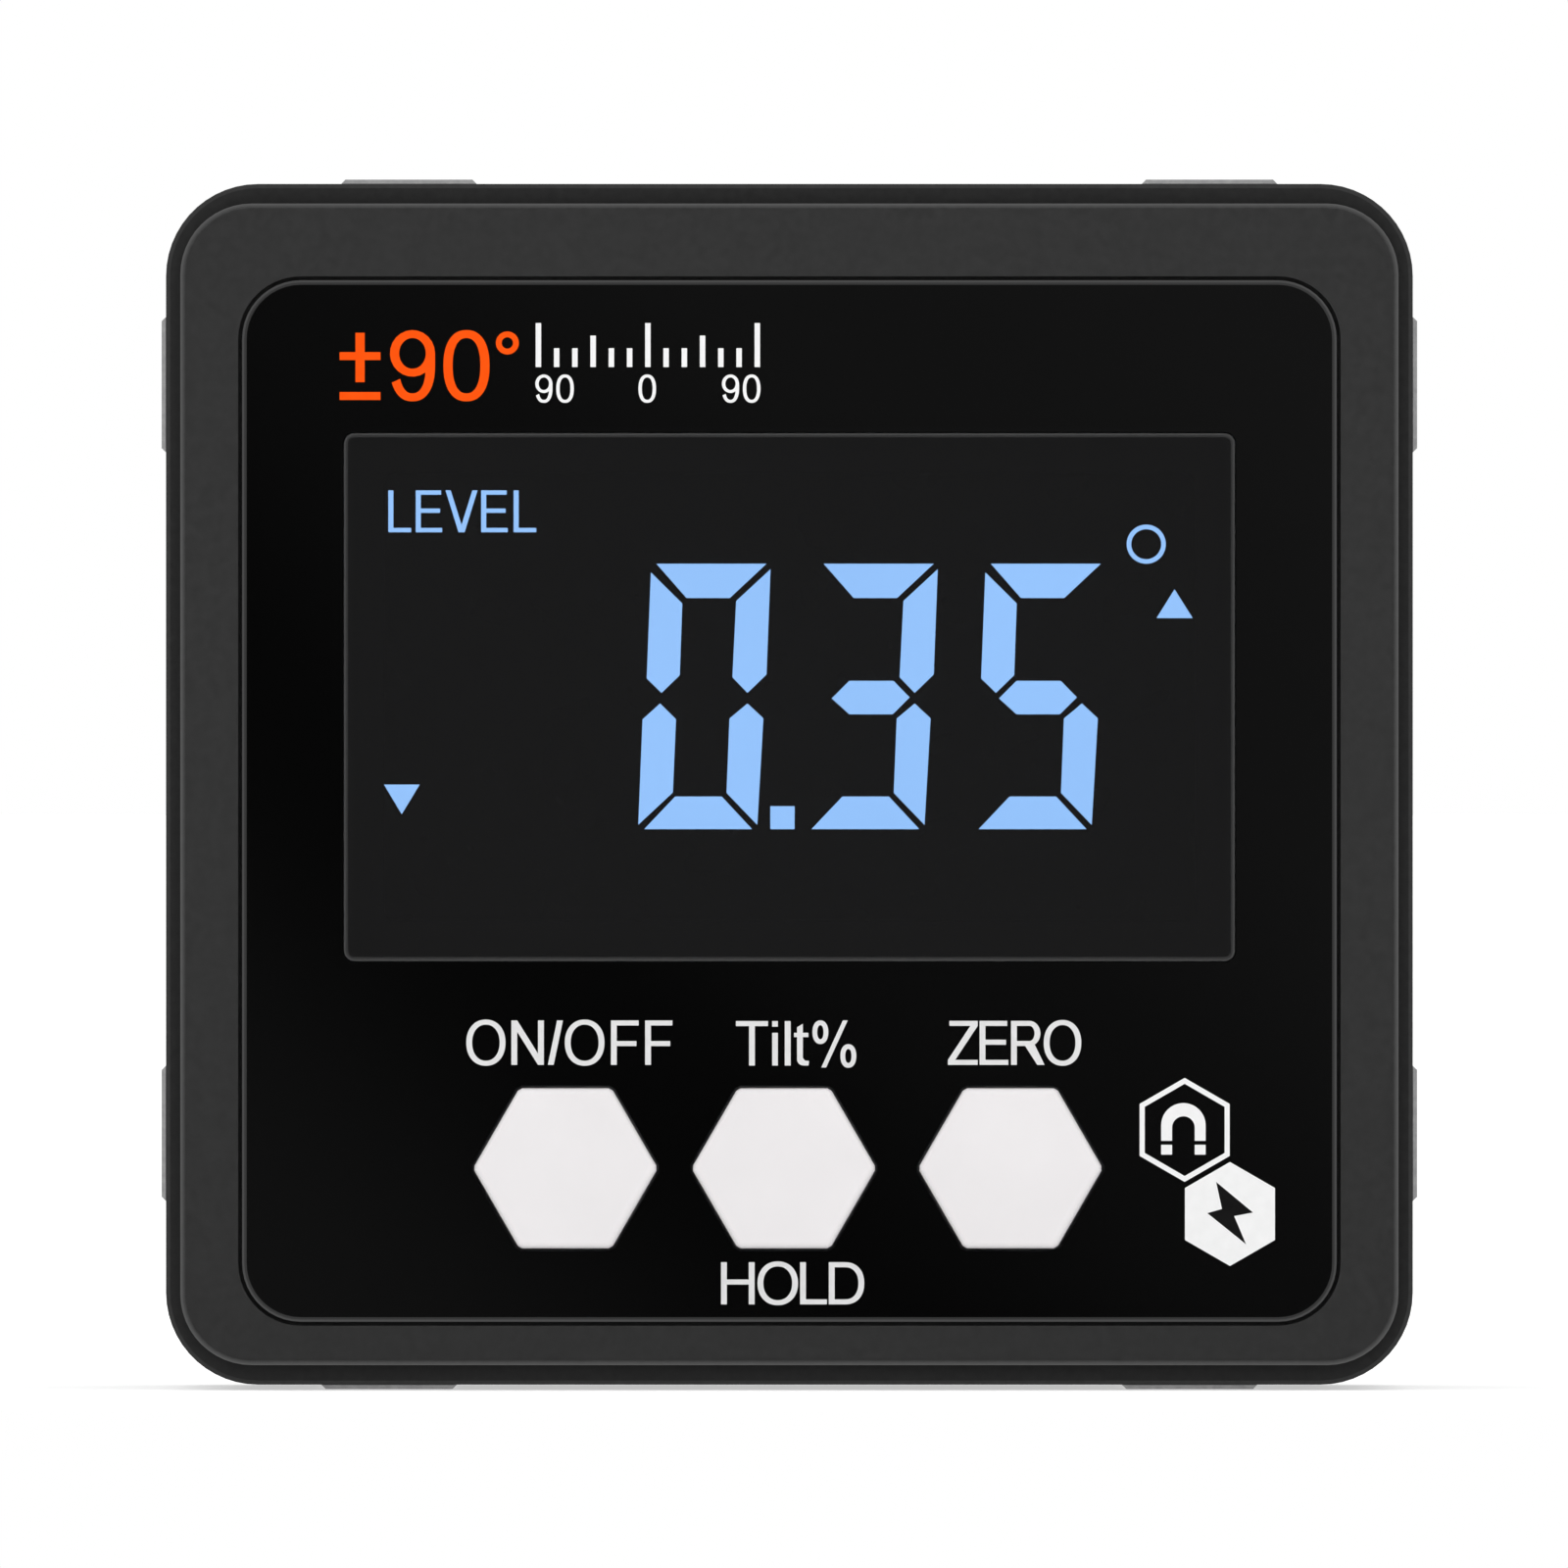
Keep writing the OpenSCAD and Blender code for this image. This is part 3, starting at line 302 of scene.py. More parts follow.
contact_gold = uneven("contact_gold", (214, 172, 92), (232, 194, 116), 0.8, (0.22, 0.36), 0.2, Metallic=1.0)
tongue_low, tongue_high = node_box("usb_tongue")
tongue_mid = [(a + b) / 2 for a, b in zip(tongue_low, tongue_high)]
TONGUE_HALF, CONTACTS, CONTACT_PITCH = 0.35, 12, 0.5
CONTACT_WIDE, CONTACT_LONG, CONTACT_HALF, CONTACT_EDGE, TIP_ROOM = 0.26, 3.6, 0.03, 0.02, 0.5
first = tongue_mid[2] - (CONTACTS - 1) / 2 * CONTACT_PITCH
tip = tongue_high[0] - TIP_ROOM
for row, side in (("front", -1), ("back", 1)):
    face = tongue_mid[1] + side * TONGUE_HALF
    contacts = add_block(
        f"port_contacts_{row}",
        (tip - CONTACT_LONG, face - CONTACT_HALF, first - CONTACT_WIDE / 2),
        (tip, face + CONTACT_HALF, first + CONTACT_WIDE / 2))
    pick(contacts, "EDGE", lambda edge, middle: True)
    bpy.ops.mesh.bevel(offset=CONTACT_EDGE * mm, segments=2, affect="EDGES")
    bpy.ops.object.mode_set(mode="OBJECT")
    use_modifier(contacts, "ARRAY", count=CONTACTS, use_relative_offset=False,
                 use_constant_offset=True, constant_offset_displace=(0, 0, CONTACT_PITCH * mm))
    finish_piece(contacts, contact_gold)

# Display: a dark-field segment glass in a white frame, lit from behind by a moulded light guide
# and joined to the board by a striped elastomer strip.
white_plastic = uneven("white_plastic", (224, 224, 224), (234, 234, 233), 5, (0.42, 0.55), 0.8)
dress(white_plastic, "lcd_frame")
GUIDE_DOT, STRIP_PITCH = 0.7, 0.18
light_guide = start_finish("light_guide", Specular_IOR_Level=0.5)
spread(light_guide, cells(light_guide, GUIDE_DOT), "Base Color",
       colour(244, 248, 252), colour(214, 226, 240), 0.2, 0.35)
spread(light_guide, clouds(light_guide, 2), "Roughness", 0.08, 0.2)
dress(light_guide, "backlight")
elastomer = start_finish("elastomer", Specular_IOR_Level=0.3)
spread(elastomer, stripes(elastomer, STRIP_PITCH), "Base Color",
       colour(40, 36, 38), colour(205, 150, 164), 0.4, 0.6)
spread(elastomer, clouds(elastomer, 0.5), "Roughness", 0.55, 0.7)
dress(elastomer, "lcd_connector")
lcd_glass = uneven("lcd_glass", (3, 3, 4), (5, 5, 6), 12, (0.2, 0.3), 4, Specular_IOR_Level=0.1)
dress(lcd_glass, "lcd_glass")

# Lit segments: the reading, its degree ring, two arrows and the mode word, etched in the glass
# as clear windows that pass the blue light from behind.


def arc(mid, radii, start, end, power=2.0, steps=20):
    """Points along an oval between two angles in degrees; a power above 2 squares it off."""
    points = []
    for step in range(steps + 1):
        angle = math.radians(start + (end - start) * step / steps)
        points.append(tuple(
            m + r * math.copysign(abs(turn) ** (2 / power), turn)
            for m, r, turn in zip(mid, radii, (math.cos(angle), math.sin(angle)))))
    return points


def oval(mid, radii, power=2.0):
    """A whole oval outline."""
    return arc(mid, radii, 0, 360, power, steps=48)[:-1]


WELD = 0.0005


def flat_piece(name, outlines, front, thick):
    """Outlines in millimetres across and up the front, cut as a flat sheet with its face at depth front."""
    sheet = bpy.data.curves.new(name, "CURVE")
    sheet.dimensions, sheet.fill_mode, sheet.extrude = "2D", "BOTH", thick / 2
    for outline in outlines:
        run = sheet.splines.new("POLY")
        run.points.add(len(outline) - 1)
        for point, (across, up) in zip(run.points, outline):
            point.co = (across, up, 0, 1)
        run.use_cyclic_u = True
    piece = bpy.data.objects.new(name, sheet)
    bpy.context.scene.collection.objects.link(piece)
    bpy.ops.object.select_all(action="DESELECT")
    piece.select_set(True)
    bpy.context.view_layer.objects.active = piece
    bpy.ops.object.convert(target="MESH")
    piece = bpy.context.object
    piece.name = piece.data.name = name
    piece.rotation_euler = (math.pi / 2, 0, 0)
    piece.location = (0, (front + thick / 2) * mm, 0)
    piece.scale = (mm, mm, mm)
    bpy.ops.object.transform_apply(location=True, rotation=True, scale=True)
    bpy.ops.object.mode_set(mode="EDIT")
    bpy.ops.mesh.select_all(action="SELECT")
    bpy.ops.mesh.remove_doubles(threshold=WELD * mm)
    bpy.ops.mesh.normals_make_consistent(inside=False)
    bpy.ops.object.mode_set(mode="OBJECT")
    return piece


def box(left, right, low, high):
    """A plain rectangular stroke."""
    return [(left, low), (right, low), (right, high), (left, high)]


def letter(kind, left, right, low, high, pen):
    """The outlines of one plain letter, drawn with an even pen between the given edges."""
    bar, wide, tall = 0.86 * pen, right - left, high - low
    mid = ((left + right) / 2, (low + high) / 2)
    inner, stem = left + pen, right - pen
    if kind in "O0":
        power = 2.15 if kind == "O" else 2.3
        reach = tall * 0.52
        return [oval(mid, (wide / 2, reach), power), oval(mid, (wide / 2 - pen, reach - bar), power)]
    if kind == "°":
        return [oval(mid, (wide / 2, tall / 2)), oval(mid, (wide / 2 - pen, tall / 2 - pen))]
    if kind == "l":
        return [box(left, right, low, high)]
    if kind == "i":
        return [box(left, right, low, low + 0.735 * tall), box(left, right, high - 0.125 * tall, high)]
    if kind == "/":
        return [[(left, low), (inner, low), (right, high), (stem, high)]]
    if kind == "L":
        return [[
            (left, low), (right, low), (right, low + bar), (inner, low + bar), (inner, high), (left, high)]]
    if kind in "EF":
        lift = mid[1] + (0.015 if kind == "E" else -0.02) * tall
        foot = [(left, low), (right, low), (right, low + bar), (inner, low + bar)]
        if kind == "F":
            foot = [(left, low), (inner, low)]
        tongue = right - 0.08 * wide
        tip = right - (0.04 * wide if kind == "E" else 0)
        return [foot + [
            (inner, lift - bar / 2), (tongue, lift - bar / 2), (tongue, lift + bar / 2),
            (inner, lift + bar / 2), (inner, high - bar), (tip, high - bar), (tip, high), (left, high)]]
    if kind == "H":
        under = mid[1] + 0.03 * tall - bar / 2
        over = under + bar
        return [[
            (left, low), (inner, low), (inner, under), (stem, under), (stem, low), (right, low),
            (right, high), (stem, high), (stem, over), (inner, over), (inner, high), (left, high)]]
    if kind == "T":
        a, b = mid[0] - pen / 2, mid[0] + pen / 2
        return [[(a, low), (b, low), (b, high - bar), (right, high - bar), (right, high), (left, high),
                 (left, high - bar), (a, high - bar)]]
    if kind == "N":
        slope = 1.93 * pen
        return [[(left, low), (inner, low), (inner, high - slope), (stem, low), (right, low), (right, high),
                 (stem, high), (stem, low + slope), (inner, high), (left, high)]]
    if kind == "V":
        foot, arm = 0.6 * pen, 1.02 * pen
        return [[(mid[0] - foot, low), (mid[0] + foot, low), (right, high), (right - arm, high),
                 (mid[0], low + 1.45 * pen), (left + arm, high), (left, high)]]
    if kind == "Z":
        near = left + 0.05 * wide
        return [[(left, low), (right, low), (right, low + bar), (left + 1.25 * pen, low + bar),
                 (right, high - bar), (right, high), (near, high), (near, high - bar),
                 (right - 1.25 * pen, high - bar), (left, low + bar)]]
    if kind == "D":
        turn = (left + 0.47 * wide, mid[1])
        bow = arc(turn, (right - turn[0], tall / 2), -90, 90, 2.2)
        hollow = arc(turn, (stem - turn[0], tall / 2 - bar), -90, 90, 2.2)
        return [[(left, low)] + bow + [(left, high)], [(inner, low + bar)] + hollow + [(inner, high - bar)]]
    if kind == "R":
        sill, edge = high - 0.57 * tall, left + 0.875 * wide
        turn = (left + 0.55 * wide, (high + sill) / 2)
        radii = (edge - turn[0], (high - sill) / 2)
        hollow = arc(turn, (radii[0] - pen, radii[1] - bar), -90, 90)
        return [
            [(left, low), (inner, low), (inner, sill), (left + 0.42 * wide, sill),
             (right - 1.25 * pen, low), (right, low)] + arc(turn, radii, -62, 90) + [(left, high)],
            [(inner, sill + bar)] + hollow + [(inner, high - bar)]]
    if kind == "t":
        a = left + 0.2 * wide
        b, rail, under = a + pen, low + 0.735 * tall, low + 0.64 * tall
        bend = (a + 0.42 * wide, low + 0.14 * tall)
        return [[
            *arc(bend, (bend[0] - a, bend[1] - low), 180, 270, steps=6), (right - 0.04 * wide, low),
            (right, low + 0.9 * bar), (b + 0.14 * wide, low + bar), (b, low + 0.17 * tall), (b, under),
            (right - 0.05 * wide, under), (right - 0.05 * wide, rail), (b, rail), (b, low + 0.94 * tall),
            (a, low + 0.86 * tall), (a, rail), (left, rail), (left, under), (a, under)]]
    if kind == "%":
        thin = 0.82 * pen
        upper, lower = (left + 0.18 * wide, low + 0.75 * tall), (right - 0.185 * wide, low + 0.215 * tall)
        radii = (0.18 * wide, 0.265 * tall)
        slim = (radii[0] - thin, radii[1] - thin)
        foot, top = low - 0.045 * tall, high + 0.015 * tall
        start, end = left + 0.2 * wide, left + 0.8 * wide
        rings = [oval(ring, size, 2.2) for ring in (upper, lower) for size in (radii, slim)]
        return rings + [[(start, foot), (start + thin, foot), (end, top), (end - thin, top)]]
    if kind == "±":
        a, b = mid[0] - pen / 2, mid[0] + pen / 2
        c, d = mid[1] + 0.14 * tall - bar / 2, mid[1] + 0.14 * tall + bar / 2
        floor, roof = low + 0.26 * tall, high - 0.02 * tall
        return [[(a, floor), (b, floor), (b, c), (right, c), (right, d), (b, d), (b, roof), (a, roof), (a, d),
                 (left, d), (left, c), (a, c)], box(left, right, low, low + bar)]
    if kind == "9":
        power, terminal, half, reach, head = 2.3, 205, wide / 2, 0.52 * tall, 0.34 * tall
        bowl = (mid[0], mid[1] + reach - head)

        def rise(angle):
            """Height of a point of the bowl's outline, as a share of the tail's inner reach."""
            return (reach - head + head * math.sin(math.radians(angle))) / (reach - bar)
        meet = next(angle for angle in range(345, 270, -1) if half * math.cos(math.radians(angle))
                    <= (half - pen) * (1 - abs(rise(angle)) ** power) ** (1 / power))
        join = 360 + math.degrees(math.asin(math.copysign(abs(rise(meet)) ** (power / 2), rise(meet))))
        return [
            arc(mid, (half, reach), terminal, 360, power) + arc(bowl, (half, head), 0, meet)
            + arc(mid, (half - pen, reach - bar), join, terminal, power)[1:],
            oval(bowl, (half - pen, head - bar))]
    raise ValueError(kind)


def word(letters, low, high, pen):
    """The outlines of a row of letters, each given with its left and right edge."""
    return [outline for kind, left, right in letters for outline in letter(kind, left, right, low, high, pen)]


SEGMENTS = {
    "top": [(-6.35, 39.43), (-1.09, 39.43), (-2.84, 37.79), (-4.91, 37.79)],
    "upper_left": [(-6.61, 39.02), (-5.11, 37.53), (-5.23, 34.11), (-6.1, 33.26), (-6.81, 33.95)],
    "upper_right": [(-0.9, 39.17), (-1.09, 34.14), (-2.0, 33.26), (-2.72, 34.01), (-2.54, 37.65)],
    "middle": [(-5.96, 33.0), (-5.12, 33.84), (-3.01, 33.84), (-2.24, 33.05), (-3.05, 32.24), (-5.12, 32.24)],
    "lower_left": [(-6.17, 32.76), (-5.41, 32.01), (-5.56, 28.51), (-7.21, 26.97), (-7.01, 32.0)],
    "lower_right": [(-2.0, 32.76), (-1.24, 32.05), (-1.53, 26.96), (-3.0, 28.49), (-2.86, 32.04)],
    "bottom": [(-5.45, 28.32), (-3.23, 28.32), (-1.78, 26.76), (-6.93, 26.76)],
}
LIT = (
    ("top", "upper_left", "upper_right", "lower_left", "lower_right", "bottom"),
    ("top", "upper_right", "middle", "lower_right", "bottom"),
    ("top", "upper_left", "middle", "lower_right", "bottom"),
)
DIGIT_PITCH, POINT = 7.98, (-0.91, 0.25, 26.76, 27.86)
RING_MID, RING_OUTSIDE, RING_INSIDE = (17.03, 40.36), 0.935, 0.715
UP_ARROW = [(18.38, 38.21), (19.25, 36.83), (17.52, 36.83)]
DOWN_ARROW = [(-19.35, 28.89), (-17.64, 28.89), (-18.5, 27.47)]
MODE = (("L", -19.14, -18.05), ("E", -17.83, -16.57), ("V", -16.41, -14.88), ("E", -14.71, -13.44),
        ("L", -13.16, -12.08))
MODE_LOW, MODE_HIGH, MODE_PEN = 40.93, 42.93, 0.243
SEGMENT_PROUD, SEGMENT_THICK = 0.02, 0.03
display_segment = start_finish(
    "display_segment", Base_Color=colour(30, 40, 52), Roughness=0.4, Emission_Strength=1.0)
spread(display_segment, clouds(display_segment, 16, 1), "Emission Color",
       (1.22, 2.25, 3.95, 1), (1.29, 2.37, 4.13, 1))
glass_face = node_box("lcd_glass")[0][1]
segment_pieces = {
    "segments_reading": [
        [(across + place * DIGIT_PITCH, up) for across, up in SEGMENTS[name]]
        for place, lit in enumerate(LIT) for name in lit] + [box(*POINT)],
    "segments_degree": [oval(RING_MID, (radius, radius)) for radius in (RING_OUTSIDE, RING_INSIDE)],
    "segments_arrows": [UP_ARROW, DOWN_ARROW],
    "segments_mode": word(MODE, MODE_LOW, MODE_HIGH, MODE_PEN),
}
for name, outlines in segment_pieces.items():
    window = flat_piece(name, outlines, glass_face - SEGMENT_PROUD, SEGMENT_THICK)
    finish_piece(window, display_segment)

# Front bezel: the dark grey frame round the panel, moulded with the shelf that carries the panel,
# the lens and the display; satin, with a softly rounded outer rim.
bezel_plastic = uneven(
    "bezel_plastic", (41, 41, 41), (47, 47, 47), 0.4, (0.32, 0.4), 0.25, Specular_IOR_Level=0.9)
raise_grain(bezel_plastic, clouds(bezel_plastic, 0.16, 2), 0.004, 0.6)
raise_grain(bezel_plastic, clouds(bezel_plastic, 0.05, 2), 0.001, 0.6)
dress(bezel_plastic, "front_bezel")

# Keys: three hollow six-sided caps in satin off-white ABS, each with a flange that keeps it under
# the panel; one silicone mat behind them keeps dust and splashes out.
silicone = uneven("silicone", (118, 118, 122), (134, 134, 138), 4, (0.55, 0.7), 0.5, Specular_IOR_Level=0.35)
dress(silicone, "key_seal")
key_plastic = uneven(
    "key_plastic", (236, 233, 234), (240, 237, 238), 5, (0.38, 0.5), 1.2, Specular_IOR_Level=0.4)
raise_grain(key_plastic, clouds(key_plastic, 0.2, 2), 0.002, 0.5)
dress(key_plastic, "key_power", "key_tilt", "key_zero")

# Faceplate: a polished black panel set into the bezel on an adhesive sheet, its edge broken by a
# small bevel that catches the light.
adhesive = uneven("adhesive", (206, 205, 196), (222, 221, 213), 3, (0.4, 0.6), 0.7)
dress(adhesive, "faceplate_tape")
# Painted sheen: the panel's base colour runs lighter and darker black along a soft diagonal, a painted
# reflection laid into the colour rather than coming from the lamps.
PAINTED_SHEEN = ((0.0, 14), (0.3, 3), (0.5, 8), (0.75, 15), (1.0, 18))
PAINTED_SHEEN_WIDE, PAINTED_SHEEN_TURN, PAINTED_SHEEN_SHIFT = 70, (0, 45, 0), (0.22, 0, 0)
panel_plastic = start_finish("panel_plastic", Specular_IOR_Level=1.0)
nodes, links = panel_plastic.node_tree.nodes, panel_plastic.node_tree.links
painted_sheen = lay(panel_plastic, "ShaderNodeTexGradient", PAINTED_SHEEN_WIDE, turn=PAINTED_SHEEN_TURN)
painted_sheen.inputs["Vector"].links[0].from_node.inputs["Location"].default_value = PAINTED_SHEEN_SHIFT
painted_sheen_tone = nodes.new("ShaderNodeValToRGB")
painted_sheen_tone.color_ramp.interpolation = "EASE"
while len(painted_sheen_tone.color_ramp.elements) < len(PAINTED_SHEEN):
    painted_sheen_tone.color_ramp.elements.new(0.5)
for stop, (place, value) in zip(painted_sheen_tone.color_ramp.elements, PAINTED_SHEEN):
    stop.position, stop.color = place, colour(value, value, value)
links.new(painted_sheen.outputs["Fac"], painted_sheen_tone.inputs["Fac"])
links.new(painted_sheen_tone.outputs["Color"], nodes["Principled BSDF"].inputs["Base Color"])
spread(panel_plastic, clouds(panel_plastic, 14, 4), "Roughness", 0.05, 0.1)
dress(panel_plastic, "faceplate")

# Printed marks: screen-printed ink on the panel, a few hundredths of a millimetre thick. White
# names the keys, orange gives the range, and a white scale and two pictograms finish the face.
INK_PATCH, INK_SHEEN, INK_TOOTH = 0.5, 0.2, 0.08
INK_THICK, INK_SUNK = 0.02, 0.01
panel_face = node_box("faceplate")[0][1]


def mix_ink(name, dark, light, gloss, tooth=0.002):
    """A screen ink, a little uneven, with a fine tooth of the given depth in millimetres."""
    ink = uneven(name, dark, light, INK_PATCH, (0.5, 0.65), INK_SHEEN, Specular_IOR_Level=gloss)
    if tooth:
        raise_grain(ink, clouds(ink, INK_TOOTH), tooth)
    return ink


def print_mark(name, outlines, ink, thick=INK_THICK):
    """Prints outlines on the panel, with the ink sunk a little into its face."""
    finish_piece(flat_piece(name, outlines, panel_face - thick, thick + INK_SUNK), ink)


white_print = mix_ink("white_print", (222, 222, 222), (229, 229, 229), 0.3)
bright_print = mix_ink("bright_print", (241, 241, 241), (245, 245, 245), 0.3)
orange_print = mix_ink("orange_print", (250, 82, 8), (254, 88, 14), 0.05)
dark_print = mix_ink("dark_print", (18, 18, 18), (22, 22, 22), 0.1, tooth=0)
LABEL_PEN = 0.278
LABELS = {
    "label_power": ((("O", -15.41, -13.54), ("N", -13.26, -11.71), ("/", -11.52, -10.8), ("O", -10.71, -8.82),
                     ("F", -8.51, -7.19), ("F", -6.88, -5.58)), 15.52, 17.64),
    "label_tilt": ((("T", -2.55, -1.02), ("i", -0.82, -0.55), ("l", -0.22, 0.06), ("t", 0.22, 0.94),
                    ("%", 1.1, 3.2)), 15.49, 17.61),
    "label_zero": ((("Z", 7.56, 8.98), ("E", 9.07, 10.44), ("R", 10.57, 12.17), ("O", 12.13, 13.92)),
                   15.52, 17.62),
    "label_hold": ((("H", -3.26, -1.66), ("O", -1.52, 0.41), ("L", 0.51, 1.79), ("D", 1.88, 3.57)),
                   4.1, 6.11),
}
for name, (letters, low, high) in LABELS.items():
    print_mark(name, word(letters, low, high, LABEL_PEN), white_print)

RANGE = (("±", -21.45, -19.5), ("9", -19.05, -16.9), ("0", -16.5, -14.3))
RANGE_LOW, RANGE_HIGH, RANGE_PEN = 47.23, 50.5, 0.44
DEGREE, DEGREE_LOW, DEGREE_PEN = (("°", -14.0, -12.9),), 49.4, 0.28
range_outlines = word(RANGE, RANGE_LOW, RANGE_HIGH, RANGE_PEN)
range_outlines += word(DEGREE, DEGREE_LOW, RANGE_HIGH, DEGREE_PEN)
print_mark("mark_range", range_outlines, orange_print)

SCALE_LEFT, SCALE_RIGHT, SCALE_BASE, TICKS, TICK_WIDE = -12.1, -1.4, 48.8, 13, 0.26
TICK_TALL = (2.1, 0.9, 0.9, 1.5, 0.9, 0.9)
NUMBERS = (("9", -12.12, -11.3), ("0", -11.12, -10.28), ("0", -7.2, -6.36), ("9", -3.22, -2.4),
           ("0", -2.22, -1.38))
NUMBERS_LOW, NUMBERS_HIGH, NUMBERS_PEN = 47.12, 48.42, 0.165
scale_outlines = []
for tick in range(TICKS):
    across = SCALE_LEFT + (SCALE_RIGHT - SCALE_LEFT - TICK_WIDE) * tick / (TICKS - 1)
    top = SCALE_BASE + TICK_TALL[tick % len(TICK_TALL)]
    scale_outlines.append(box(across, across + TICK_WIDE, SCALE_BASE, top))
scale_outlines += word(NUMBERS, NUMBERS_LOW, NUMBERS_HIGH, NUMBERS_PEN)
print_mark("mark_scale", scale_outlines, bright_print)


def hexagon(mid, reach):
    """A six-sided outline standing on a point."""
    return arc(mid, (reach, reach), 30, 390, steps=6)[:-1]


MAGNET_MID, CHARGE_MID, HEX_REACH, HEX_LINE = (18.85, 12.42), (21.01, 8.41), 2.48, 0.28
SHOE_MID, SHOE_OUTSIDE, SHOE_INSIDE = 18.79, 1.06, 0.54
BOW_OUTSIDE_UP, BOW_INSIDE_UP, LEG_LOW, POLE_LOW, POLE_HIGH = 12.64, 12.53, 11.9, 11.24, 11.71
BOLT = [(20.35, 9.94), (22.11, 8.48), (21.21, 8.31), (21.78, 6.96), (19.93, 8.45), (20.63, 8.65)]
left_leg = (SHOE_MID - SHOE_OUTSIDE, SHOE_MID - SHOE_INSIDE)
right_leg = (SHOE_MID + SHOE_INSIDE, SHOE_MID + SHOE_OUTSIDE)
horseshoe = arc((SHOE_MID, BOW_OUTSIDE_UP), (SHOE_OUTSIDE, SHOE_OUTSIDE), 0, 180)
horseshoe += [(side, LEG_LOW) for side in left_leg]
horseshoe += arc((SHOE_MID, BOW_INSIDE_UP), (SHOE_INSIDE, SHOE_INSIDE), 180, 0)
horseshoe += [(side, LEG_LOW) for side in right_leg]
PICTOGRAMS = {
    "pictogram_magnet": [
        hexagon(MAGNET_MID, HEX_REACH), hexagon(MAGNET_MID, HEX_REACH - HEX_LINE), horseshoe,
        box(*left_leg, POLE_LOW, POLE_HIGH), box(*right_leg, POLE_LOW, POLE_HIGH)],
    "pictogram_charge": [hexagon(CHARGE_MID, HEX_REACH), BOLT],
}
for name, outlines in PICTOGRAMS.items():
    print_mark(name, outlines, bright_print)
print_mark("pictogram_bolt", [BOLT], dark_print, INK_THICK / 2)

# Display lens: a window of smoked acrylic with a clear hard coat, pressed into the panel, its front
# edge rounded; a black border printed on its back hides the shelf that it is glued to.
lens_acrylic = start_finish(
    "lens_acrylic", Base_Color=(0.28, 0.28, 0.285, 1), Transmission_Weight=0.9705, IOR=1.49,
    Coat_Weight=0.5, Coat_Roughness=0.03)
spread(lens_acrylic, clouds(lens_acrylic, 10), "Roughness", 0.02, 0.05)
dress(lens_acrylic, "display_lens")
lens_low, lens_high = node_box("display_lens")
EDGE_ROOM, EDGE_ROUND, BORDER, WINDOW_ROUND = 0.03, 0.47, 1.9, 0.6
BORDER_DEPTH, BORDER_THICK = 0.03, 0.02


def within_lens(margin, radius):
    """The lens' outline drawn in by a margin, with rounded corners."""
    left, right = lens_low[0] + margin, lens_high[0] - margin
    low, high = lens_low[2] + margin, lens_high[2] - margin
    outline = []
    for across, up, start in ((right, high, 0), (left, high, 90), (left, low, 180), (right, low, 270)):
        mid = (across - math.copysign(radius, across - (left + right) / 2),
               up - math.copysign(radius, up - (low + high) / 2))
        outline += arc(mid, (radius, radius), start, start + 90, steps=6)
    return outline


black_print = mix_ink("black_print", (2, 2, 2), (5, 5, 5), 0.2, tooth=0)
border = flat_piece(
    "lens_border", [within_lens(EDGE_ROOM, EDGE_ROUND), within_lens(BORDER, WINDOW_ROUND)],
    lens_high[1] - BORDER_DEPTH, BORDER_THICK)
finish_piece(border, black_print)

# Back cover: a moulded lid of the same plastic as the case, drawn down on a rubber seal by four
# black-zinc screws with cross slots, sunk in counterbores.
dress(case_plastic, "back_cover")
seal_rubber = uneven("seal_rubber", (24, 24, 24), (31, 31, 31), 4, (0.62, 0.75), 0.4, Specular_IOR_Level=0.3)
dress(seal_rubber, "cover_seal")
dark_screw_steel = uneven("dark_screw_steel", (78, 78, 81), (96, 96, 98), 1.2, (0.3, 0.45), 0.3, Metallic=0.9)
raise_grain(dark_screw_steel, clouds(dark_screw_steel, 0.12), 0.003, 0.6)
dress(dark_screw_steel, "cover_screws")

# Port plug: one soft rubber moulding that closes the charge socket. Its anchor is held in the case
# by a peg, its flap presses into the socket, and a thin neck joins them; on the real plug that neck is where
# it bends.
flap_low, flap_high = node_box("port_flap")
anchor_low, anchor_high = node_box("flap_anchor")
PLATE_THICK, PLATE_CORNER, PLATE_EDGE = 1.15, 1.5, 0.2
NECK_THICK, NECK_LONG, NECK_STEPS = 0.6, 1.5, 12
NEAR, CLEAR, SHARP = 0.01, 0.1, 1.0
outer, under = flap_high[0], flap_high[0] - PLATE_THICK
plate_top, neck_mid = anchor_low[2] - NECK_LONG, outer - NECK_THICK / 2


def plug_plate(name, low, high):
    """A plate of the plug between two heights, its corners rounded, split where the neck's back runs."""
    plate = add_block(name, (under, flap_low[1], low), (outer, flap_high[1], high))
    bpy.ops.object.mode_set(mode="EDIT")
    bpy.ops.mesh.select_all(action="SELECT")
    bpy.ops.mesh.bisect(plane_co=((outer - NECK_THICK) * mm, 0, 0), plane_no=(1, 0, 0))
    pick(plate, "EDGE", lambda edge, middle: abs(edge.verts[0].co.x - edge.verts[1].co.x) > CLEAR * mm)
    bpy.ops.mesh.bevel(offset=PLATE_CORNER * mm, segments=8, affect="EDGES")
    bpy.ops.object.mode_set(mode="OBJECT")
    return plate


def pick_neck(plate, height):
    """Selects the face of a plate, at one height, from which the neck runs."""
    pick(plate, "FACE", lambda face, middle: abs(middle.z - height) < NEAR
         and abs(middle.x - neck_mid) < NEAR)


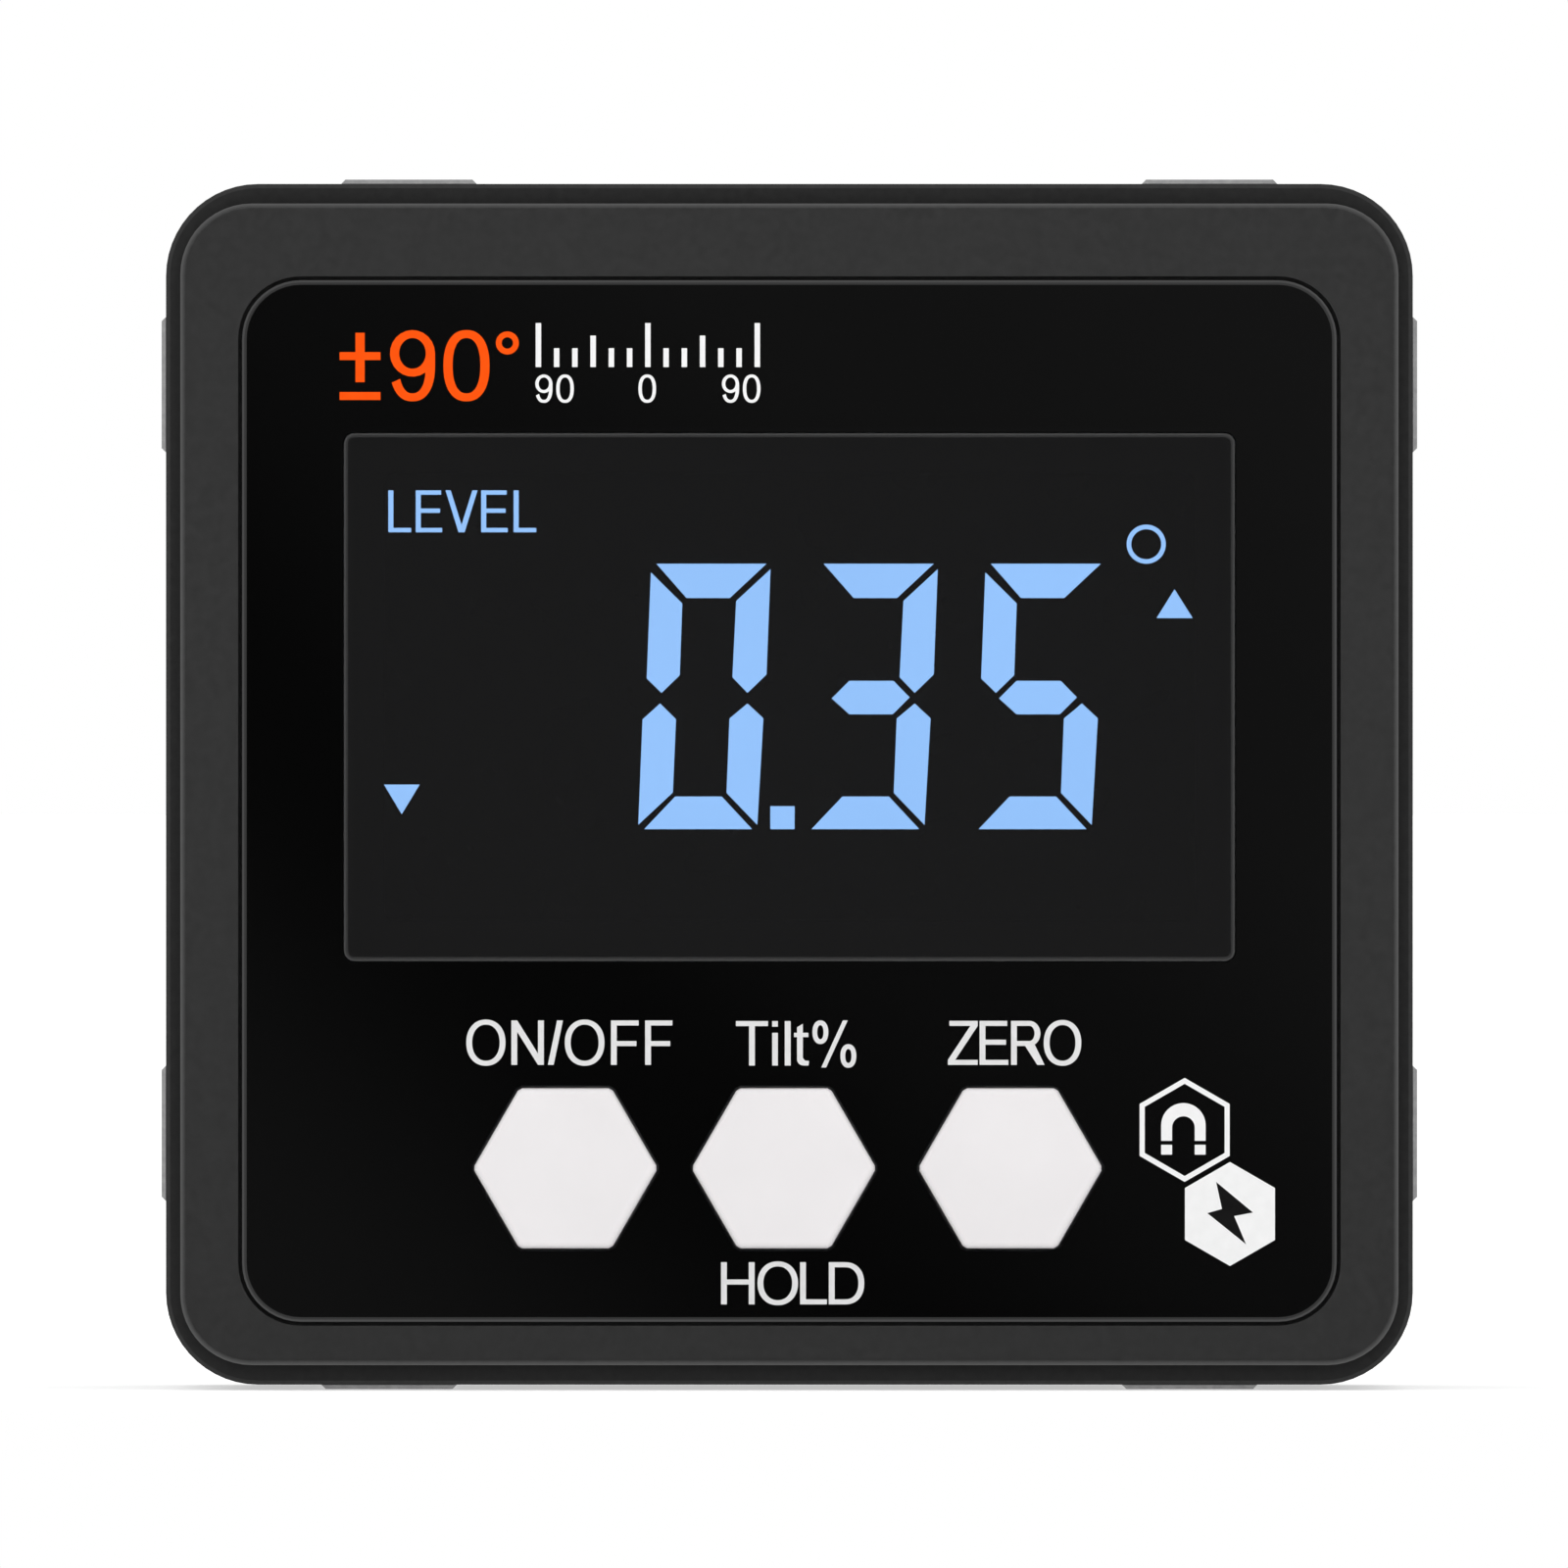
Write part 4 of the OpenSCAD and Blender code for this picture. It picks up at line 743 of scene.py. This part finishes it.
flap = plug_plate("port_plug", flap_low[2], plate_top)
anchor = plug_plate("plug_anchor", anchor_low[2], anchor_high[2])
pick_neck(flap, plate_top)
for step in range(NECK_STEPS):
    bpy.ops.mesh.extrude_region_move(TRANSFORM_OT_translate={"value": (0, 0, NECK_LONG / NECK_STEPS * mm)})
bpy.ops.mesh.delete(type="FACE")
bpy.ops.object.mode_set(mode="OBJECT")
pick_neck(anchor, anchor_low[2])
bpy.ops.mesh.delete(type="FACE")
bpy.ops.object.mode_set(mode="OBJECT")
bpy.ops.object.select_all(action="DESELECT")
anchor.select_set(True)
flap.select_set(True)
bpy.context.view_layer.objects.active = flap
bpy.ops.object.join()
bpy.ops.object.mode_set(mode="EDIT")
bpy.ops.mesh.select_all(action="SELECT")
bpy.ops.mesh.remove_doubles(threshold=NEAR * mm)
bpy.ops.object.mode_set(mode="OBJECT")
ROUND_SIDES = 32


def add_round(name, radius, low, high, across, up):
    """A cylinder primitive through the side wall between two depths, leaning by half the angle of a side."""
    bpy.ops.object.select_all(action="DESELECT")
    bpy.ops.mesh.primitive_cylinder_add(
        vertices=ROUND_SIDES, radius=radius * mm, depth=(high - low) * mm,
        location=((low + high) / 2 * mm, across * mm, up * mm),
        rotation=(math.pi / ROUND_SIDES, math.pi / 2, 0))
    bpy.ops.object.transform_apply(location=True, rotation=True, scale=True)
    bpy.context.object.name = name
    return bpy.context.object


def fuse(piece, added):
    """Joins a second solid to a piece and removes it."""
    bpy.ops.object.mode_set(mode="OBJECT")
    use_modifier(piece, "BOOLEAN", operation="UNION", solver="EXACT", object=added)
    bpy.data.objects.remove(added)


SUNK, LIP_HALF, LIP_LONG, LIP_WALL = 0.05, 1.76, 9.05, 0.7
PEG_HALF, PEG_HEAD, PEG_HEAD_LONG = 1.0, 1.3, 0.6
middle_y, port_up = tongue_mid[1], tongue_mid[2]
lip = add_round("plug_lip", LIP_HALF, flap_low[0], under + SUNK, middle_y, port_up)
for way in (1, -1):
    pick(lip, "EDGE", lambda edge, middle: (middle.z - port_up) * way > NEAR
         and abs(middle.x - under) > CLEAR and abs(middle.x - flap_low[0]) > CLEAR)
    bpy.ops.transform.translate(value=(0, 0, way * (LIP_LONG / 2 - LIP_HALF) * mm))
pick(lip, "FACE", lambda face, middle: abs(middle.x - flap_low[0]) < NEAR)
bpy.ops.mesh.inset(thickness=LIP_WALL * mm)
bpy.ops.mesh.extrude_region_move(TRANSFORM_OT_translate={"value": ((under - flap_low[0]) * mm, 0, 0)})
fuse(flap, lip)
peg_up, head_at = (anchor_low[2] + anchor_high[2]) / 2, anchor_low[0] + PEG_HEAD_LONG
peg = add_round("plug_peg", PEG_HALF, head_at, under + SUNK, middle_y, peg_up)
pick(peg, "FACE", lambda face, middle: abs(middle.x - head_at) < NEAR)
for step, share in ((0, PEG_HEAD), (-PEG_HEAD_LONG, 1 / PEG_HEAD)):
    bpy.ops.mesh.extrude_region_move(TRANSFORM_OT_translate={"value": (step * mm, 0, 0)})
    bpy.ops.transform.resize(value=(1, share, share),
                             center_override=((head_at + step) * mm, middle_y * mm, peg_up * mm))
fuse(flap, peg)
pick(flap, "EDGE", lambda edge, middle: abs(middle.x - outer) < NEAR and len(edge.link_faces) == 2
     and edge.calc_face_angle(0) > SHARP)
bpy.ops.mesh.bevel(offset=PLATE_EDGE * mm, segments=4, affect="EDGES")
bpy.ops.object.mode_set(mode="OBJECT")

flap_rubber = uneven("flap_rubber", (34, 34, 34), (39, 39, 39), 5, (0.66, 0.8), 0.8, Specular_IOR_Level=0.3)
raise_grain(flap_rubber, clouds(flap_rubber, 0.1), 0.004)
finish_piece(flap, flap_rubber, body=None)
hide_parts("port_flap", "flap_anchor")
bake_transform(flap)

# Studio: a wide pale floor, an even white surround with a dark opening behind the camera so that
# the polished front stays dark, and broad soft lamps from the front, the back and above.
bpy.ops.object.select_all(action="DESELECT")
FLOOR_WIDE, FLOOR_AHEAD, FLOOR_TONE, FLOOR_GLOW = 60, 0.12, (0.9, 0.9, 0.9, 1), 0.5
bpy.ops.mesh.primitive_plane_add(size=FLOOR_WIDE, location=(0, FLOOR_WIDE / 2 - FLOOR_AHEAD, 0))
bpy.ops.object.transform_apply(location=True, rotation=True, scale=True)
floor = bpy.context.object
floor.name = "floor"


def strongest(tree, output, *others):
    """The largest of several node outputs."""
    for other in others:
        larger = tree.nodes.new("ShaderNodeMath")
        larger.operation = "MAXIMUM"
        tree.links.new(output, larger.inputs[0])
        tree.links.new(other, larger.inputs[1])
        output = larger.outputs["Value"]
    return output


floor_paint = start_finish(
    "floor_paint", Base_Color=FLOOR_TONE, Roughness=0.9, Specular_IOR_Level=0.0, Emission_Color=(1, 1, 1, 1))
nodes, links = floor_paint.node_tree.nodes, floor_paint.node_tree.links
ray = nodes.new("ShaderNodeLightPath").outputs
glow = nodes.new("ShaderNodeMath")
glow.operation = "MULTIPLY"
glow.inputs[1].default_value = FLOOR_GLOW
links.new(ray["Is Camera Ray"], glow.inputs[0])
links.new(glow.outputs["Value"], nodes["Principled BSDF"].inputs["Emission Strength"])
clear = nodes.new("ShaderNodeMixShader")
passing = strongest(
    floor_paint.node_tree, ray["Is Glossy Ray"], ray["Is Transmission Ray"], ray["Is Shadow Ray"])
links.new(passing, clear.inputs["Fac"])
links.new(nodes["Principled BSDF"].outputs["BSDF"], clear.inputs[1])
links.new(nodes.new("ShaderNodeBsdfTransparent").outputs["BSDF"], clear.inputs[2])
links.new(clear.outputs["Shader"], nodes["Material Output"].inputs["Surface"])
floor.data.materials.append(floor_paint)

SURROUND, SURROUND_IN_GLOSS, OPENING_DARK = 0.6, 0.8, 0.01
OPENING_RIM, OPENING_HEART = math.radians(58), math.radians(26)
world = bpy.data.worlds.new("studio")
bpy.context.scene.world = world
world.use_nodes = True
nodes, links = world.node_tree.nodes, world.node_tree.links
ray = nodes.new("ShaderNodeLightPath").outputs
heading = nodes.new("ShaderNodeTexCoord")
ahead = nodes.new("ShaderNodeVectorMath")
ahead.operation = "DOT_PRODUCT"
ahead.inputs[1].default_value = (0, -1, 0)
links.new(heading.outputs["Generated"], ahead.inputs[0])
opening = nodes.new("ShaderNodeMapRange")
opening.interpolation_type = "SMOOTHSTEP"
for name, value in (("From Min", math.cos(OPENING_RIM)), ("From Max", math.cos(OPENING_HEART)),
                    ("To Min", SURROUND_IN_GLOSS), ("To Max", OPENING_DARK)):
    opening.inputs[name].default_value = value
links.new(ahead.outputs["Value"], opening.inputs["Value"])
soft = nodes.new("ShaderNodeMix")
soft.inputs["A"].default_value = SURROUND
links.new(strongest(world.node_tree, ray["Is Glossy Ray"], ray["Is Transmission Ray"]), soft.inputs["Factor"])
links.new(opening.outputs["Result"], soft.inputs["B"])
seen = nodes.new("ShaderNodeMix")
seen.inputs["B"].default_value = 1.0
links.new(ray["Is Camera Ray"], seen.inputs["Factor"])
links.new(soft.outputs["Result"], seen.inputs["A"])
nodes["Background"].inputs["Color"].default_value = (1, 1, 1, 1)
links.new(seen.outputs["Result"], nodes["Background"].inputs["Strength"])

LAMPS = (("lamp_top", (10, 0, 12), 0.3), ("lamp_front", (90, 0, -4), 1.33), ("lamp_back", (-90, 0, 8), 1.0))
LAMP_WIDE = 50
for name, turn, strength in LAMPS:
    bpy.ops.object.light_add(type="SUN", rotation=[math.radians(angle) for angle in turn])
    lamp = bpy.context.object
    lamp.name = name
    lamp.visible_glossy = lamp.visible_transmission = False
    lamp.data.energy = strength
    lamp.data.angle = math.radians(LAMP_WIDE)

CAMERA_AWAY, CAMERA_AT, VIEW_WIDE, SENSOR_WIDE, FARTHEST = 3.3, (-0.257, 28.916), 74.77, 36, 100
bpy.ops.object.camera_add(
    location=(CAMERA_AT[0] * mm, -CAMERA_AWAY, CAMERA_AT[1] * mm), rotation=(math.pi / 2, 0, 0))
camera = bpy.context.object
camera.data.sensor_width = SENSOR_WIDE
camera.data.lens = SENSOR_WIDE * (CAMERA_AWAY + cad_low[1]) / (VIEW_WIDE * mm)
camera.data.clip_end = FARTHEST
bpy.context.scene.camera = camera
bpy.context.scene.view_settings.view_transform = "Standard"
